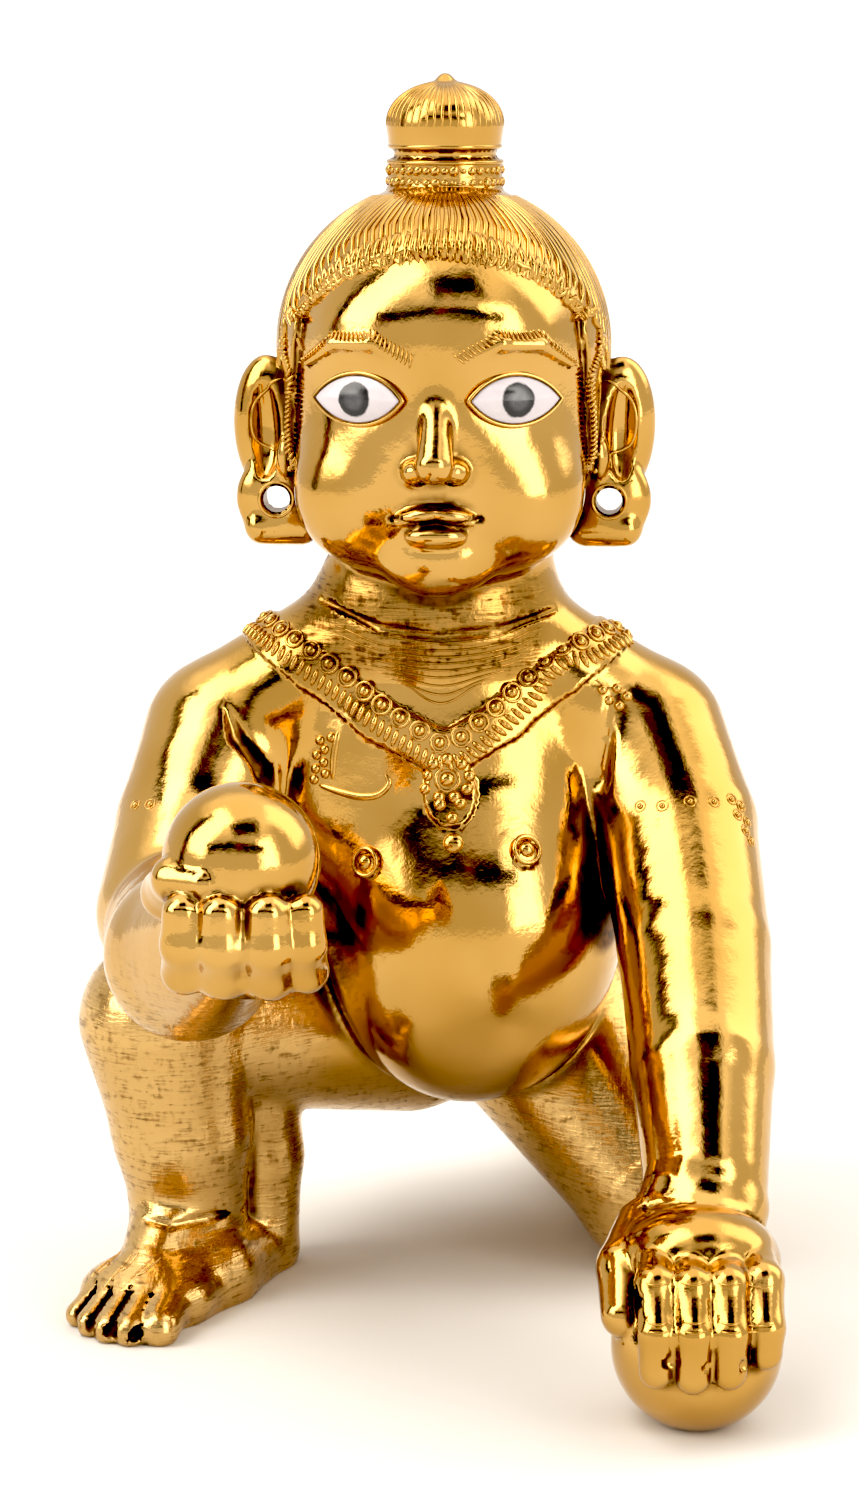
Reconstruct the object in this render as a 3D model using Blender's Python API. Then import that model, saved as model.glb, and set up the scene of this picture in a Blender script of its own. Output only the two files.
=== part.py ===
"""A crawling infant, cast in brass in one piece, with two eyes inlaid in its face.

The infant goes on its left knee and its left hand, which rests on a round sweet, with its right
foot flat on the ground. Its raised right hand holds out a second sweet. It looks towards -Y, its
left side is towards +X, and it stands on the plane Z = 0.

The casting is a free form: its limbs are round cones and ovals that melt into each other, worked
out as a distance to the surface. Every form is given in parts of the figure, which is 125 parts
high, so that pose and proportions follow HEIGHT. Sizes that stand by themselves are in metres.
"""
import math

import bmesh
import bpy
from mathutils import Euler, Matrix, Vector

# Height from the ground to the tip of the hair knot.
HEIGHT = 0.125
PARTS_HIGH = 125.0
PART = HEIGHT / PARTS_HIGH

# The hole through each ear lobe takes the wire of a small earring. The drill is longer than the lobe.
EAR_HOLE = 0.0027
EAR_DRILL_LENGTH = 16 * PART

# Each eye is an almond of white enamel, let into a pocket in the face with room all round it.
# The pocket is wider at the pointed corners of the eye, and open to the front.
EYE_WIDTH = 0.0096
EYE_OPENING = 0.0047
EYE_THICKNESS = 0.0024
EYE_BULGE = 0.0008
EYE_CLEARANCE = 0.0003
EYE_CORNER_CLEARANCE = 0.0009
POCKET_FRONT = -1.5 * EYE_THICKNESS

# How finely the casting is modelled, in parts, and the share of its facets that are kept.
GRAIN = 0.9
FACETS_KEPT = 0.085
# The form is a fill whose density falls by this for each part outwards, with the surface at one half.
DENSITY_AT_SURFACE = 0.5
DENSITY_FALL = 0.1

# The middle of the figure's box, seen from above, in parts. It is moved to the origin.
MIDDLE = (-1.1, -6.9)
# The space that the figure fills, with some room round it, in parts.
SPACE_LOW = (-40.0, -65.0, -3.0)
SPACE_HIGH = (38.0, 52.0, 128.0)

# Where the head sits, how it is turned, and where the eyes and the ear holes are on it.
HEAD_PLACE = (1.4, -1.0, 74.0)
HEAD_TURN = (0.0, 0.0, -3.0)
EYE_PLACE = (7.3, -12.7, 19.6)
EYE_TURN = (-3.0, 0.0, 25.0)
EAR_HOLE_PLACE = (17.0, 0.0, 8.2)


class Field:
    """A number or a place that nodes work out at every point of space."""

    def __init__(self, socket):
        self.socket = socket

    def is_vector(self):
        return self.socket.type == "VECTOR"

    def __add__(self, other):
        return combine("ADD", self, other)

    def __sub__(self, other):
        return combine("SUBTRACT", self, other)

    def __rsub__(self, other):
        return combine("SUBTRACT", other, self)

    def __mul__(self, other):
        return combine("MULTIPLY", self, other)

    def __truediv__(self, other):
        return combine("DIVIDE", self, other)

    def parts(self):
        """The X, Y and Z of a place."""
        node = self.socket.id_data.nodes.new("ShaderNodeSeparateXYZ")
        self.socket.id_data.links.new(self.socket, node.inputs[0])
        return [Field(socket) for socket in node.outputs]


def add_node(tree, kind, values, **settings):
    """A node with its settings, then the values or links of its sockets; gives its first output."""
    node = tree.nodes.new(kind)
    for name, value in settings.items():
        setattr(node, name, value)
    for socket, value in zip([socket for socket in node.inputs if socket.enabled], values):
        if isinstance(value, Field):
            tree.links.new(value.socket, socket)
        else:
            socket.default_value = value
    return Field(next(socket for socket in node.outputs if socket.enabled))


def tree_of(values):
    return next(value.socket.id_data for value in values if isinstance(value, Field))


def number(operation, *values):
    return add_node(tree_of(values), "ShaderNodeMath", values, operation=operation)


def vector(operation, *values):
    return add_node(tree_of(values), "ShaderNodeVectorMath", values, operation=operation)


def combine(operation, first, second):
    """Arithmetic on numbers and places alike."""
    vectors = [value.is_vector() if isinstance(value, Field) else isinstance(value, tuple)
               for value in (first, second)]
    if operation == "MULTIPLY" and vectors == [True, False]:
        return vector("SCALE", first, second)
    return vector(operation, first, second) if any(vectors) else number(operation, first, second)


def place(x, y, z):
    """A place from its three coordinates, of which one at least is a field."""
    return add_node(tree_of((x, y, z)), "ShaderNodeCombineXYZ", (x, y, z))


def shape_group(name, inputs, rule):
    """A node group with named inputs, whose rule gives the distance to a shape."""
    tree = bpy.data.node_groups.new(name, "GeometryNodeTree")
    for title, kind in inputs:
        tree.interface.new_socket(title, in_out="INPUT", socket_type="NodeSocket" + kind)
    tree.interface.new_socket("Distance", in_out="OUTPUT", socket_type="NodeSocketFloat")
    given = tree.nodes.new("NodeGroupInput").outputs
    distance = rule(*[Field(given[title]) for title, kind in inputs])
    tree.links.new(distance.socket, tree.nodes.new("NodeGroupOutput").inputs[0])
    return tree


def turned(at, centre, turn):
    """A point in the frame of a form that sits at a centre, turned about it."""
    return add_node(tree_of((at,)), "ShaderNodeVectorRotate", (at - centre, (0, 0, 0), turn),
                    rotation_type="EULER_XYZ", invert=True)


def ball_rule(at, centre, radii, turn):
    scaled = turned(at, centre, turn) / radii
    reach = vector("LENGTH", scaled)
    return reach * (reach - 1.0) / vector("LENGTH", scaled / radii)


def limb_rule(at, start, end, start_radius, end_radius):
    along = end - start
    offset = at - start
    share = number("DIVIDE", vector("DOT_PRODUCT", offset, along), vector("DOT_PRODUCT", along, along))
    share = add_node(tree_of((at,)), "ShaderNodeClamp", (share, 0.0, 1.0))
    beside = vector("LENGTH", offset - vector("SCALE", along, share))
    return beside - (share * (end_radius - start_radius) + start_radius)


def drum_rule(at, centre, radius, half_height, rounding):
    x, y, z = (at - centre).parts()
    across = number("SQRT", x * x + y * y) - (radius - rounding)
    up = number("ABSOLUTE", z) - (half_height - rounding)
    outside = number("SQRT", number("POWER", number("MAXIMUM", across, 0.0), 2.0)
                     + number("POWER", number("MAXIMUM", up, 0.0), 2.0))
    return outside + number("MINIMUM", number("MAXIMUM", across, up), 0.0) - rounding


BALL = shape_group("ball", [("Place", "Vector"), ("Centre", "Vector"), ("Radii", "Vector"),
                            ("Turn", "Vector")], ball_rule)
LIMB = shape_group("limb", [("Place", "Vector"), ("Start", "Vector"), ("End", "Vector"),
                            ("Start Radius", "Float"), ("End Radius", "Float")], limb_rule)
DRUM = shape_group("drum", [("Place", "Vector"), ("Centre", "Vector"), ("Radius", "Float"),
                            ("Half Height", "Float"), ("Rounding", "Float")], drum_rule)


def add_shape(at, group, *values):
    tree = tree_of((at,))
    node = tree.nodes.new("GeometryNodeGroup")
    node.node_tree = group
    tree.links.new(at.socket, node.inputs[0])
    for socket, value in zip(node.inputs[1:], values):
        socket.default_value = value
    return Field(node.outputs[0])


def ball(at, centre, radii, turn=(0, 0, 0)):
    """An oval, or a sphere where one radius is given, turned by degrees."""
    if not isinstance(radii, tuple):
        radii = (radii,) * 3
    return add_shape(at, BALL, centre, radii, tuple(math.radians(angle) for angle in turn))


def limb(at, start, end, start_radius, end_radius):
    """A round cone with round ends."""
    return add_shape(at, LIMB, start, end, start_radius, end_radius)


def drum(at, centre, radius, half_height, rounding):
    """An upright cylinder with rounded edges."""
    return add_shape(at, DRUM, centre, radius, half_height, rounding)


def melt(first, second, softness):
    """Two forms joined, with a fillet."""
    return number("SMOOTH_MIN", first, second, softness)


def carve(form, tool, softness):
    """A form with another cut out of it, with softened edges."""
    return number("SMOOTH_MAX", form, tool * -1.0, softness)


def keep(form, region, softness):
    """The stretch of a form that lies inside a region."""
    return number("SMOOTH_MAX", form, region, softness)


def chain(at, points, radii, softness):
    """Round cones end to end through a few points."""
    form = limb(at, points[0], points[1], radii[0], radii[1])
    for step in range(1, len(points) - 1):
        link = limb(at, points[step], points[step + 1], radii[step], radii[step + 1])
        form = melt(form, link, softness)
    return form


def mirrored(at):
    """Both sides of the head share one set of forms."""
    x, y, z = at.parts()
    return place(number("ABSOLUTE", x), y, z)


def skull(at):
    """The bare head, with full cheeks, and the top of the neck."""
    form = melt(ball(at, (0, 2, 23.8), (16.0, 17.4, 15.8)),
                ball(at, (0, -2.2, 14.6), (15.0, 13.6, 15.4)), 4)
    form = melt(form, ball(at, (0, 3.5, 17.0), (13.6, 12.8, 10.5)), 4)
    return melt(form, ball(at, (0, 2.0, 0.0), (11.4, 9.6, 15.0)), 3)


def face(at, side, form):
    """A calm, regular child's face: eye line at half height, nose and mouth by thirds."""
    form = melt(form, ball(side, (6.6, -7.6, 9.6), (7.8, 7.0, 7.4)), 4)
    form = melt(form, ball(at, (0, -10.8, 3.6), (5.6, 4.4, 4.0)), 3.5)
    form = melt(form, ball(at, (0, -8.6, 26.0), (11.0, 6.0, 6.0)), 4)
    form = carve(form, ball(side, (7.6, -17.9, 19.6), (7.0, 4.0, 3.9), (0, 0, 25)), 1.8)
    bridge = limb(at, (0, -13.4, 21.0), (0, -18.0, 13.6), 1.1, 1.9)
    form = melt(form, bridge, 1.6)
    form = melt(form, ball(side, (1.9, -16.0, 12.8), (1.5, 1.9, 1.3)), 0.9)
    form = carve(form, limb(side, (1.1, -17.0, 11.2), (1.2, -16.2, 12.6), 0.5, 0.4), 0.5)
    form = melt(form, ball(side, (1.5, -14.6, 8.4), (2.8, 2.0, 1.0), (0, 10, 16)), 0.7)
    form = melt(form, ball(at, (0, -14.2, 6.3), (3.2, 2.1, 1.35)), 0.7)
    mouth = chain(side, [(0, -16.7, 7.4), (2.4, -15.9, 7.5), (4.6, -14.3, 8.0)], [0.4, 0.35, 0.2], 0.2)
    form = carve(form, mouth, 0.5)
    arch = [(2.6, -14.9, 23.4), (6.4, -14.3, 25.2), (10.2, -12.3, 25.0), (13.2, -9.0, 22.8)]
    return melt(form, chain(side, arch, [0.5, 0.8, 0.7, 0.4], 0.5), 0.8)


def hair(at, side, form):
    """Combed hair over the skull, with a raised hem above the forehead, by the ears and at the nape."""
    x, y, z = at.parts()
    outside = (z + y * 1.05 - 21.5) * -0.69
    outside = number("SMOOTH_MAX", outside, z * -1.0 + 5.0, 2.0)
    lock = [(15.2, -4.6, 26.0), (15.9, -4.0, 19.0), (15.4, -4.0, 12.5)]
    outside = melt(outside, chain(side, lock, [2.2, 2.0, 1.2], 0.5), 1.0)
    return keep(form - 0.75, outside, 0.4)


def knot(at):
    """The knot of hair on the crown: a band, a groove and a bud that comes to a point."""
    middle = 3.5
    form = melt(drum(at, (0, middle, 40.4), 5.85, 2.2, 0.6),
                drum(at, (0, middle, 43.0), 5.2, 2.5, 0.4), 0.3)
    form = melt(form, drum(at, (0, middle, 45.0), 5.8, 1.7, 0.9), 0.3)
    form = melt(form, ball(at, (0, middle, 46.0), (5.95, 5.95, 4.2)), 0.6)
    return melt(form, limb(at, (0, middle, 46.2), (0, middle, 50.3), 4.0, 0.7), 1.6)


def ear(side):
    """A tall ear that faces forward, with a rim, a deep hollow, and a long square lobe."""
    form = ball(side, (17.9, 1.4, 15.3), (3.9, 2.2, 7.4), (0, 3, 18))
    lobe = melt(limb(side, (14.8, 0.8, 5.3), (18.6, -0.2, 5.2), 2.1, 1.8),
                ball(side, (17.3, 0.4, 8.2), (4.0, 2.1, 4.4)), 1.2)
    form = melt(form, lobe, 1.2)
    form = melt(form, ball(side, (15.0, 1.8, 13.0), (3.0, 3.0, 7.5)), 2.0)
    form = carve(form, ball(side, (18.6, -1.6, 15.6), (1.9, 2.7, 5.4), (0, 3, 18)), 0.5)
    return melt(form, ball(side, (16.0, -1.2, 12.6), (1.0, 1.3, 2.2)), 0.6)


def head(at):
    at = turned(at, HEAD_PLACE, tuple(math.radians(angle) for angle in HEAD_TURN))
    side = mirrored(at)
    bare = skull(at)
    form = melt(face(at, side, bare), hair(at, side, bare), 0.4)
    form = melt(form, knot(at), 0.9)
    return melt(form, ear(side), 1.0)


def torso(at):
    """Chest, sloping shoulders, neck, round belly, hips and back."""
    form = melt(ball(at, (0.8, 2.0, 57.0), (17.5, 12.8, 14.0), (-12, 0, 0)),
                ball(at, (0.9, 3.0, 49.5), (20.0, 14.4, 16.0)), 3)
    for way in (-1, 1):
        shoulder = limb(at, (0.4 + 6.2 * way, 1.5, 66.6), (0.4 + 21.4 * way, 2.0, 56.8), 8.1, 8.5)
        form = melt(form, shoulder, 3)
    form = melt(form, ball(at, (0.9, 0.8, 70), (12.9, 10.8, 13.0)), 3.5)
    form = melt(form, ball(at, (4.2, -0.2, 37.8), (16.0, 17.0, 19.4)), 6)
    form = melt(form, ball(at, (4.0, 16.5, 26.5), (17.5, 13.5, 12.4)), 6)
    form = melt(form, limb(at, (0.8, 9, 58), (4, 14, 34), 10.5, 12), 4)
    form = melt(form, ball(at, (-4.8, 20, 24), 10.8), 3)
    form = melt(form, ball(at, (12.8, 20, 24), 10.8), 3)
    return carve(form, limb(at, (0.8, 21.5, 62), (3.2, 29.5, 36), 1.2, 1.2), 3)


def chest_carving(at, body):
    """Nipples and a necklace, in low relief on the body."""
    x, y, z = at.parts()
    seen = place(x, 0.0, z)
    points = [(-17.6, 0, 69.0), (-11.8, 0, 65.2), (-5.4, 0, 60.8), (1.6, 0, 57.4), (7.8, 0, 60.8),
              (13.4, 0, 64.8), (19.0, 0, 68.4)]
    collar = chain(seen, points, [1.9, 2.0, 2.1, 2.2, 2.1, 2.0, 1.9], 1)
    collar = melt(collar, ball(seen, (2.1, 0, 53.6), (2.7, 3, 3.2)), 1)
    for nipple in ((-6.5, 0, 46.2), (9.9, 0, 47.6)):
        collar = melt(collar, ball(seen, nipple, 1.2), 0.1)
    return melt(body, keep(body - 0.45, keep(collar, y - 2.0, 0.5), 0.6), 0.4)


def left_arm(at):
    """The straight arm that the infant leans on."""
    points = [(22.3, 1.0, 56.6), (25.5, -5.0, 48.6), (26.7, -15.5, 38.5), (26.9, -26.0, 29.0),
              (26.7, -34.0, 20.4)]
    return chain(at, points, [8.4, 8.0, 7.4, 6.8, 5.8], 2.5)


def right_arm(at):
    """The bent arm, whose forearm is held out to the front."""
    upper = [(-21.1, 1.0, 56.6), (-24.2, -5, 48.6), (-25.6, -13.0, 41.5)]
    fore = [(-24.0, -17.0, 40.6), (-23.2, -28, 41.0), (-18.4, -43.5, 46.6)]
    return melt(chain(at, upper, [8.4, 7.8, 8.0], 2.5), chain(at, fore, [8.3, 8.2, 5.4], 2.5), 1.0)


def finger(at, points, thickness):
    """Knuckle, middle joint, last joint and tip."""
    return chain(at, points, [thickness * share for share in (1.0, 1.04, 1.0, 0.9)], 0.2)


def left_hand(at):
    """The hand over the lower sweet: four fingers in front of it and the thumb beside it."""
    form = melt(ball(at, (25.4, -41.6, 14.2), (8.0, 8.4, 5.6), (-30, 0, 0)),
                ball(at, (26.2, -36.5, 18.0), (6.5, 5.5, 5.0)), 2)
    for count in range(4):
        x = 20.9 + 3.35 * count
        back = (0.4, 0.0, 0.3, 1.7)[count]
        knuckle = (25.4 + (x - 25.4) * 0.9, -45.6 + back, 16.4)
        tips = [knuckle, (x, -51.2 + back, 15.2), (x, -54.0 + back, 11.6), (x, -54.2 + back, 7.6 + back)]
        form = melt(form, finger(at, tips, 1.86), 0.25)
    thumb = chain(at, [(20.6, -38.5, 16.6), (18.4, -43.4, 14.4), (18.2, -47.6, 11.2)], [2.9, 2.6, 2.2], 1)
    form = melt(form, thumb, 1.0)
    return carve(form, ball(at, (19.6, -49.6, 13.4), (0.9, 3.4, 2.4)), 0.6)


def right_hand(at):
    """The raised hand: the sweet lies in the palm, and the fingers curl up in front of it."""
    form = ball(at, (-16.8, -49.5, 47.8), (7.4, 8.2, 4.3), (14, 0, 0))
    for count in range(4):
        x = (-21.9, -18.4, -14.3, -11.0)[count]
        back = (0.9, 0.0, 0.0, 1.0)[count]
        thickness = (1.95, 2.15, 2.2, 1.85)[count]
        knuckle = (-16.6 + (x + 16.6) * 0.9, -51.0, 46.2)
        points = [knuckle, (x, -57.2 + back, 46.6), (x, -59.6 + back, 49.6), (x, -59.6 + back, 52.6)]
        form = melt(form, finger(at, points, thickness), 0.25)
    thumb = [(-21.0, -46.5, 49.0), (-23.6, -51.5, 52.6), (-22.7, -56.0, 55.0), (-19.8, -58.4, 55.2)]
    return melt(form, chain(at, thumb, [2.9, 2.4, 2.0, 1.6], 0.8), 0.9)


def right_leg(at):
    """Thigh, raised knee, shin, calf and a flat foot that points outwards."""
    form = limb(at, (-3, 13, 24.6), (-27.0, -6.5, 28.4), 11.4, 8.8)
    shin = chain(at, [(-27.2, -7.8, 28.8), (-25.8, -7.2, 17), (-25.2, -5.8, 8)], [9.0, 7.1, 6.0], 2)
    calf = chain(at, [(-19.6, -0.5, 21), (-18.0, 0.2, 12), (-17.9, -0.4, 2)], [6.2, 4.4, 3.9], 2)
    form = melt(form, melt(shin, calf, 1.2), 1.5)
    foot = chain(at, [(-18.2, 0.0, 1.5), (-23.2, -10.0, 2.2), (-27.0, -16.6, 1.4)], [3.9, 5.2, 4.6], 2)
    foot = melt(foot, ball(at, (-28.9, -16.2, 2.2), (7.2, 6.0, 3.8), (0, 0, -28)), 2)
    foot = melt(foot, limb(at, (-25.6, -7.0, 8), (-28.6, -15.0, 4.2), 5.7, 3.4), 2)
    roots = ((-26.0, -19.0, 2.8), (-28.4, -19.2, 3.0), (-30.4, -18.5, 2.8), (-32.0, -17.2, 2.6),
             (-33.2, -15.4, 2.4))
    tips = ((-27.1, -24.6, 1.5), (-30.0, -25.1, 1.4), (-32.3, -24.2, 1.3), (-34.2, -22.4, 1.2),
            (-35.6, -19.6, 1.1))
    for root, tip, thickness in zip(roots, tips, (2.1, 1.7, 1.6, 1.5, 1.4)):
        foot = melt(foot, limb(at, root, tip, thickness + 0.3, thickness), 1.1)
    for count in range(4):
        start = (Vector(roots[count]) + Vector(roots[count + 1])) / 2 + Vector((0, 0, 2.0))
        end = (Vector(tips[count]) + Vector(tips[count + 1])) / 2 + Vector((-0.9, -1.4, -0.1))
        foot = carve(foot, limb(at, tuple(start), tuple(end), 0.3, 0.75), 0.3)
    return melt(form, foot, 1.8)


def left_leg(at):
    """Thigh, the knee on the ground, the shin along it, and a foot with its sole turned up."""
    form = limb(at, (11.5, 13, 24.4), (24.0, -1.0, 9.2), 11.8, 8.6)
    shin = chain(at, [(24.0, -0.5, 8.0), (21.5, 16, 7.4), (18.5, 32.0, 5.6)], [8.3, 7.4, 4.8], 2)
    form = melt(form, shin, 1.5)
    foot = chain(at, [(18.5, 31, 6.4), (18.0, 36, 5.0), (17.6, 42.0, 3.4)], [4.6, 4.2, 3.6], 2)
    foot = melt(foot, ball(at, (18.4, 33.5, 8.6), (3.6, 4, 4)), 2)
    for count in range(5):
        x = 21.8 - 2.05 * count
        thickness = (2.0, 1.5, 1.45, 1.4, 1.3)[count]
        toe = limb(at, (x * 0.8 + 3.6, 41.0, 3.2), (x, 46.0 - 0.6 * count, 1.7), thickness + 0.3, thickness)
        foot = melt(foot, toe, 0.6)
    return melt(form, foot, 1.5)


def figure_form(at):
    """The distance to the whole casting, in parts, before the cuts."""
    body = melt(torso(at), melt(right_leg(at), left_leg(at), 2), 1.8)
    body = chest_carving(at, body)
    form = melt(body, left_arm(at), 1.6)
    form = melt(form, right_arm(at), 1.6)
    lower_sweet = ball(at, (25.2, -45.6, 7.5), 8.1)
    upper_sweet = ball(at, (-16.9, -52.8, 55.9), 7.15)
    form = melt(form, melt(left_hand(at), lower_sweet, 0.4), 1.2)
    form = melt(form, melt(right_hand(at), upper_sweet, 0.4), 1.2)
    return melt(form, head(at), 1.0)


def cast_tree():
    """Nodes that fill the form and give its surface, moved so that its middle is at the origin."""
    tree = bpy.data.node_groups.new("casting", "GeometryNodeTree")
    tree.interface.new_socket("Geometry", in_out="OUTPUT", socket_type="NodeSocketGeometry")
    at = Field(tree.nodes.new("GeometryNodeInputPosition").outputs[0])
    density = DENSITY_AT_SURFACE - figure_form(at) * DENSITY_FALL
    cube = tree.nodes.new("GeometryNodeVolumeCube")
    tree.links.new(density.socket, cube.inputs["Density"])
    cube.inputs["Min"].default_value = SPACE_LOW
    cube.inputs["Max"].default_value = SPACE_HIGH
    for axis, low, high in zip("XYZ", SPACE_LOW, SPACE_HIGH):
        cube.inputs["Resolution " + axis].default_value = round((high - low) / GRAIN)
    surface = tree.nodes.new("GeometryNodeVolumeToMesh")
    surface.inputs["Threshold"].default_value = DENSITY_AT_SURFACE
    tree.links.new(cube.outputs["Volume"], surface.inputs["Volume"])
    settle = tree.nodes.new("GeometryNodeTransform")
    settle.inputs["Translation"].default_value = (-MIDDLE[0] * PART, -MIDDLE[1] * PART, 0.0)
    settle.inputs["Scale"].default_value = (PART, PART, PART)
    tree.links.new(surface.outputs["Mesh"], settle.inputs["Geometry"])
    tree.links.new(settle.outputs["Geometry"], tree.nodes.new("NodeGroupOutput").inputs[0])
    return tree


def finish(name, colour, metallic, roughness):
    material = bpy.data.materials.new(name)
    material.use_nodes = True
    shader = material.node_tree.nodes["Principled BSDF"]
    shader.inputs["Base Color"].default_value = (*colour, 1.0)
    shader.inputs["Metallic"].default_value = metallic
    shader.inputs["Roughness"].default_value = roughness
    return material


def add_object(name, mesh, material=None):
    thing = bpy.data.objects.new(name, mesh)
    bpy.context.scene.collection.objects.link(thing)
    if material:
        mesh.materials.append(material)
    return thing


def add_cutter(name, mesh, casting):
    """An unseen tool that is cut out of the casting."""
    tool = add_object(name, mesh)
    tool.hide_render = True
    tool.display_type = "WIRE"
    cut = casting.modifiers.new(name, "BOOLEAN")
    cut.operation = "DIFFERENCE"
    cut.solver = "EXACT"
    cut.object = tool
    return tool


def on_head(local, turn=(0.0, 0.0, 0.0)):
    """The world matrix of something that is placed on the head in parts and turned by degrees."""
    degrees = [math.radians(angle) for angle in HEAD_TURN]
    skull = Matrix.Translation(HEAD_PLACE) @ Euler(degrees).to_matrix().to_4x4()
    own = Matrix.Translation(local) @ Euler([math.radians(angle) for angle in turn]).to_matrix().to_4x4()
    matrix = skull @ own
    spot = matrix.translation - Vector((*MIDDLE, 0.0))
    matrix.translation = spot * PART
    return matrix


def almond(width, opening, steps=12):
    """The outline of an eye, from two arcs that meet at its corners, as X and Z."""
    rise = opening / 2
    radius = (width * width / 4 + rise * rise) / (2 * rise)
    half_angle = math.asin(width / 2 / radius)
    angles = [half_angle * (1 - 2 * step / steps) for step in range(steps)]
    upper = [(radius * math.sin(angle), radius * math.cos(angle) - radius + rise) for angle in angles]
    return upper + [(-x, -z) for x, z in upper]


def almond_solid(name, width, opening, front, back, bulge):
    """A closed almond whose front swells towards -Y by its bulge."""
    shell = bmesh.new()
    outline = almond(width, opening)
    rings = [[shell.verts.new((0.9 * x, back, 0.9 * z)) for x, z in outline]]
    for share in (1.0, 0.75, 0.5, 0.25):
        depth = front - bulge * (1 - share * share)
        rings.append([shell.verts.new((share * x, depth, share * z)) for x, z in outline])
    shell.faces.new(rings[0])
    for inner, outer in zip(rings, rings[1:]):
        for count in range(len(outline)):
            after = (count + 1) % len(outline)
            shell.faces.new((inner[count], outer[count], outer[after], inner[after]))
    tip = shell.verts.new((0, front - bulge, 0))
    last = rings[-1]
    for count in range(len(outline)):
        shell.faces.new((last[count], tip, last[(count + 1) % len(outline)]))
    bmesh.ops.recalc_face_normals(shell, faces=shell.faces)
    mesh = bpy.data.meshes.new(name)
    shell.to_mesh(mesh)
    shell.free()
    return mesh


def drill(name, diameter, length):
    """A round tool along Y."""
    tool = bmesh.new()
    bmesh.ops.create_cone(tool, cap_ends=True, segments=20, radius1=diameter / 2, radius2=diameter / 2,
                          depth=length, matrix=Matrix.Rotation(math.pi / 2, 4, "X"))
    mesh = bpy.data.meshes.new(name)
    tool.to_mesh(mesh)
    tool.free()
    return mesh


def block(name, low, high):
    """A box between two corners."""
    tool = bmesh.new()
    size = Vector(high) - Vector(low)
    centre = (Vector(high) + Vector(low)) / 2
    bmesh.ops.create_cube(tool, size=1.0, matrix=Matrix.Translation(centre) @ Matrix.Diagonal((*size, 1.0)))
    mesh = bpy.data.meshes.new(name)
    tool.to_mesh(mesh)
    tool.free()
    return mesh


for thing in list(bpy.data.objects):
    bpy.data.objects.remove(thing)

brass = finish("brass", (0.80, 0.52, 0.19), 1.0, 0.12)
enamel = finish("white_enamel", (0.86, 0.83, 0.80), 0.0, 0.20)

# The casting, with few facets where it is flat.
casting = add_object("figure", bpy.data.meshes.new("figure"), brass)
form = casting.modifiers.new("form", "NODES")
form.node_group = cast_tree()
thin_out = casting.modifiers.new("facets", "DECIMATE")
thin_out.ratio = FACETS_KEPT

# Foot, knee, shin, toes and lower sweet are filed flat where they stand.
half_bed = HEIGHT
add_cutter("ground", block("ground", (-half_bed, -half_bed, -half_bed), (half_bed, half_bed, 0.0)), casting)

# Earring holes, and the eyes in their pockets.
for label, way in (("left", 1), ("right", -1)):
    hole = add_cutter("ear_drill_" + label, drill("ear_drill", EAR_HOLE, EAR_DRILL_LENGTH), casting)
    hole.matrix_world = on_head((way * EAR_HOLE_PLACE[0], *EAR_HOLE_PLACE[1:]))
    seat = on_head((way * EYE_PLACE[0], *EYE_PLACE[1:]), (EYE_TURN[0], 0.0, way * EYE_TURN[2]))
    pocket = almond_solid("pocket", EYE_WIDTH + 2 * EYE_CORNER_CLEARANCE, EYE_OPENING + 2 * EYE_CLEARANCE,
                          POCKET_FRONT, EYE_THICKNESS / 2 + EYE_CLEARANCE, EYE_BULGE)
    add_cutter("eye_pocket_" + label, pocket, casting).matrix_world = seat
    inlay = almond_solid("eye_" + label, EYE_WIDTH, EYE_OPENING, -EYE_THICKNESS / 2, EYE_THICKNESS / 2,
                         EYE_BULGE)
    eye = add_object("eye_" + label, inlay, enamel)
    eye.matrix_world = seat
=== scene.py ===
"""The looks of a crawling infant in polished brass, with inlaid eyes, on a pale floor.

The figure is 125 parts high. Places and sizes on it are given in those parts, in the frame of the
casting, and the head has a frame of its own. It looks towards -Y, and its left side is towards +X.
"""
import math

import bmesh
import bpy
from mathutils import Euler, Matrix, Vector


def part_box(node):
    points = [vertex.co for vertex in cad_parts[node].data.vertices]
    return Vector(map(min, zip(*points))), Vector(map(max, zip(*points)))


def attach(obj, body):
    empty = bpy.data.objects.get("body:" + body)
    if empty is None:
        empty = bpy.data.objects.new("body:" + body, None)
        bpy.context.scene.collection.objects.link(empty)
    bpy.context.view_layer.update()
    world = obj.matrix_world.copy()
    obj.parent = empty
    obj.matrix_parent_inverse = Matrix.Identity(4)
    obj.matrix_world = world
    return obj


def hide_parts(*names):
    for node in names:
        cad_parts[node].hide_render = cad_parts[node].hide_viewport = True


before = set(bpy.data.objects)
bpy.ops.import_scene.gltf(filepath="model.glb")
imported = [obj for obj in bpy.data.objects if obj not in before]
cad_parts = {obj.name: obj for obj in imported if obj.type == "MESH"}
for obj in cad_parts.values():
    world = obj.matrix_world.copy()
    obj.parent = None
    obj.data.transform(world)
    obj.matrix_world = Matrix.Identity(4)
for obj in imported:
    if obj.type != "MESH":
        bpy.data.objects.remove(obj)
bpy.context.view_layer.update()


# The camera is at the height of the knot, and close enough for the near hand to look large. It looks
# down a little. Its lens covers the frame's long side.
CAMERA_PLACE = (0.0011, -0.3631, 0.128)
CAMERA_DROP = 11.05
CAMERA_LENS = 86.88
CAMERA_NEAR = 0.01

camera = bpy.data.objects.new("camera", bpy.data.cameras.new("camera"))
bpy.context.scene.collection.objects.link(camera)
bpy.context.scene.camera = camera
camera.location = CAMERA_PLACE
camera.rotation_euler = (math.radians(90 - CAMERA_DROP), 0, 0)
camera.data.lens = CAMERA_LENS
camera.data.clip_start = CAMERA_NEAR


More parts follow.
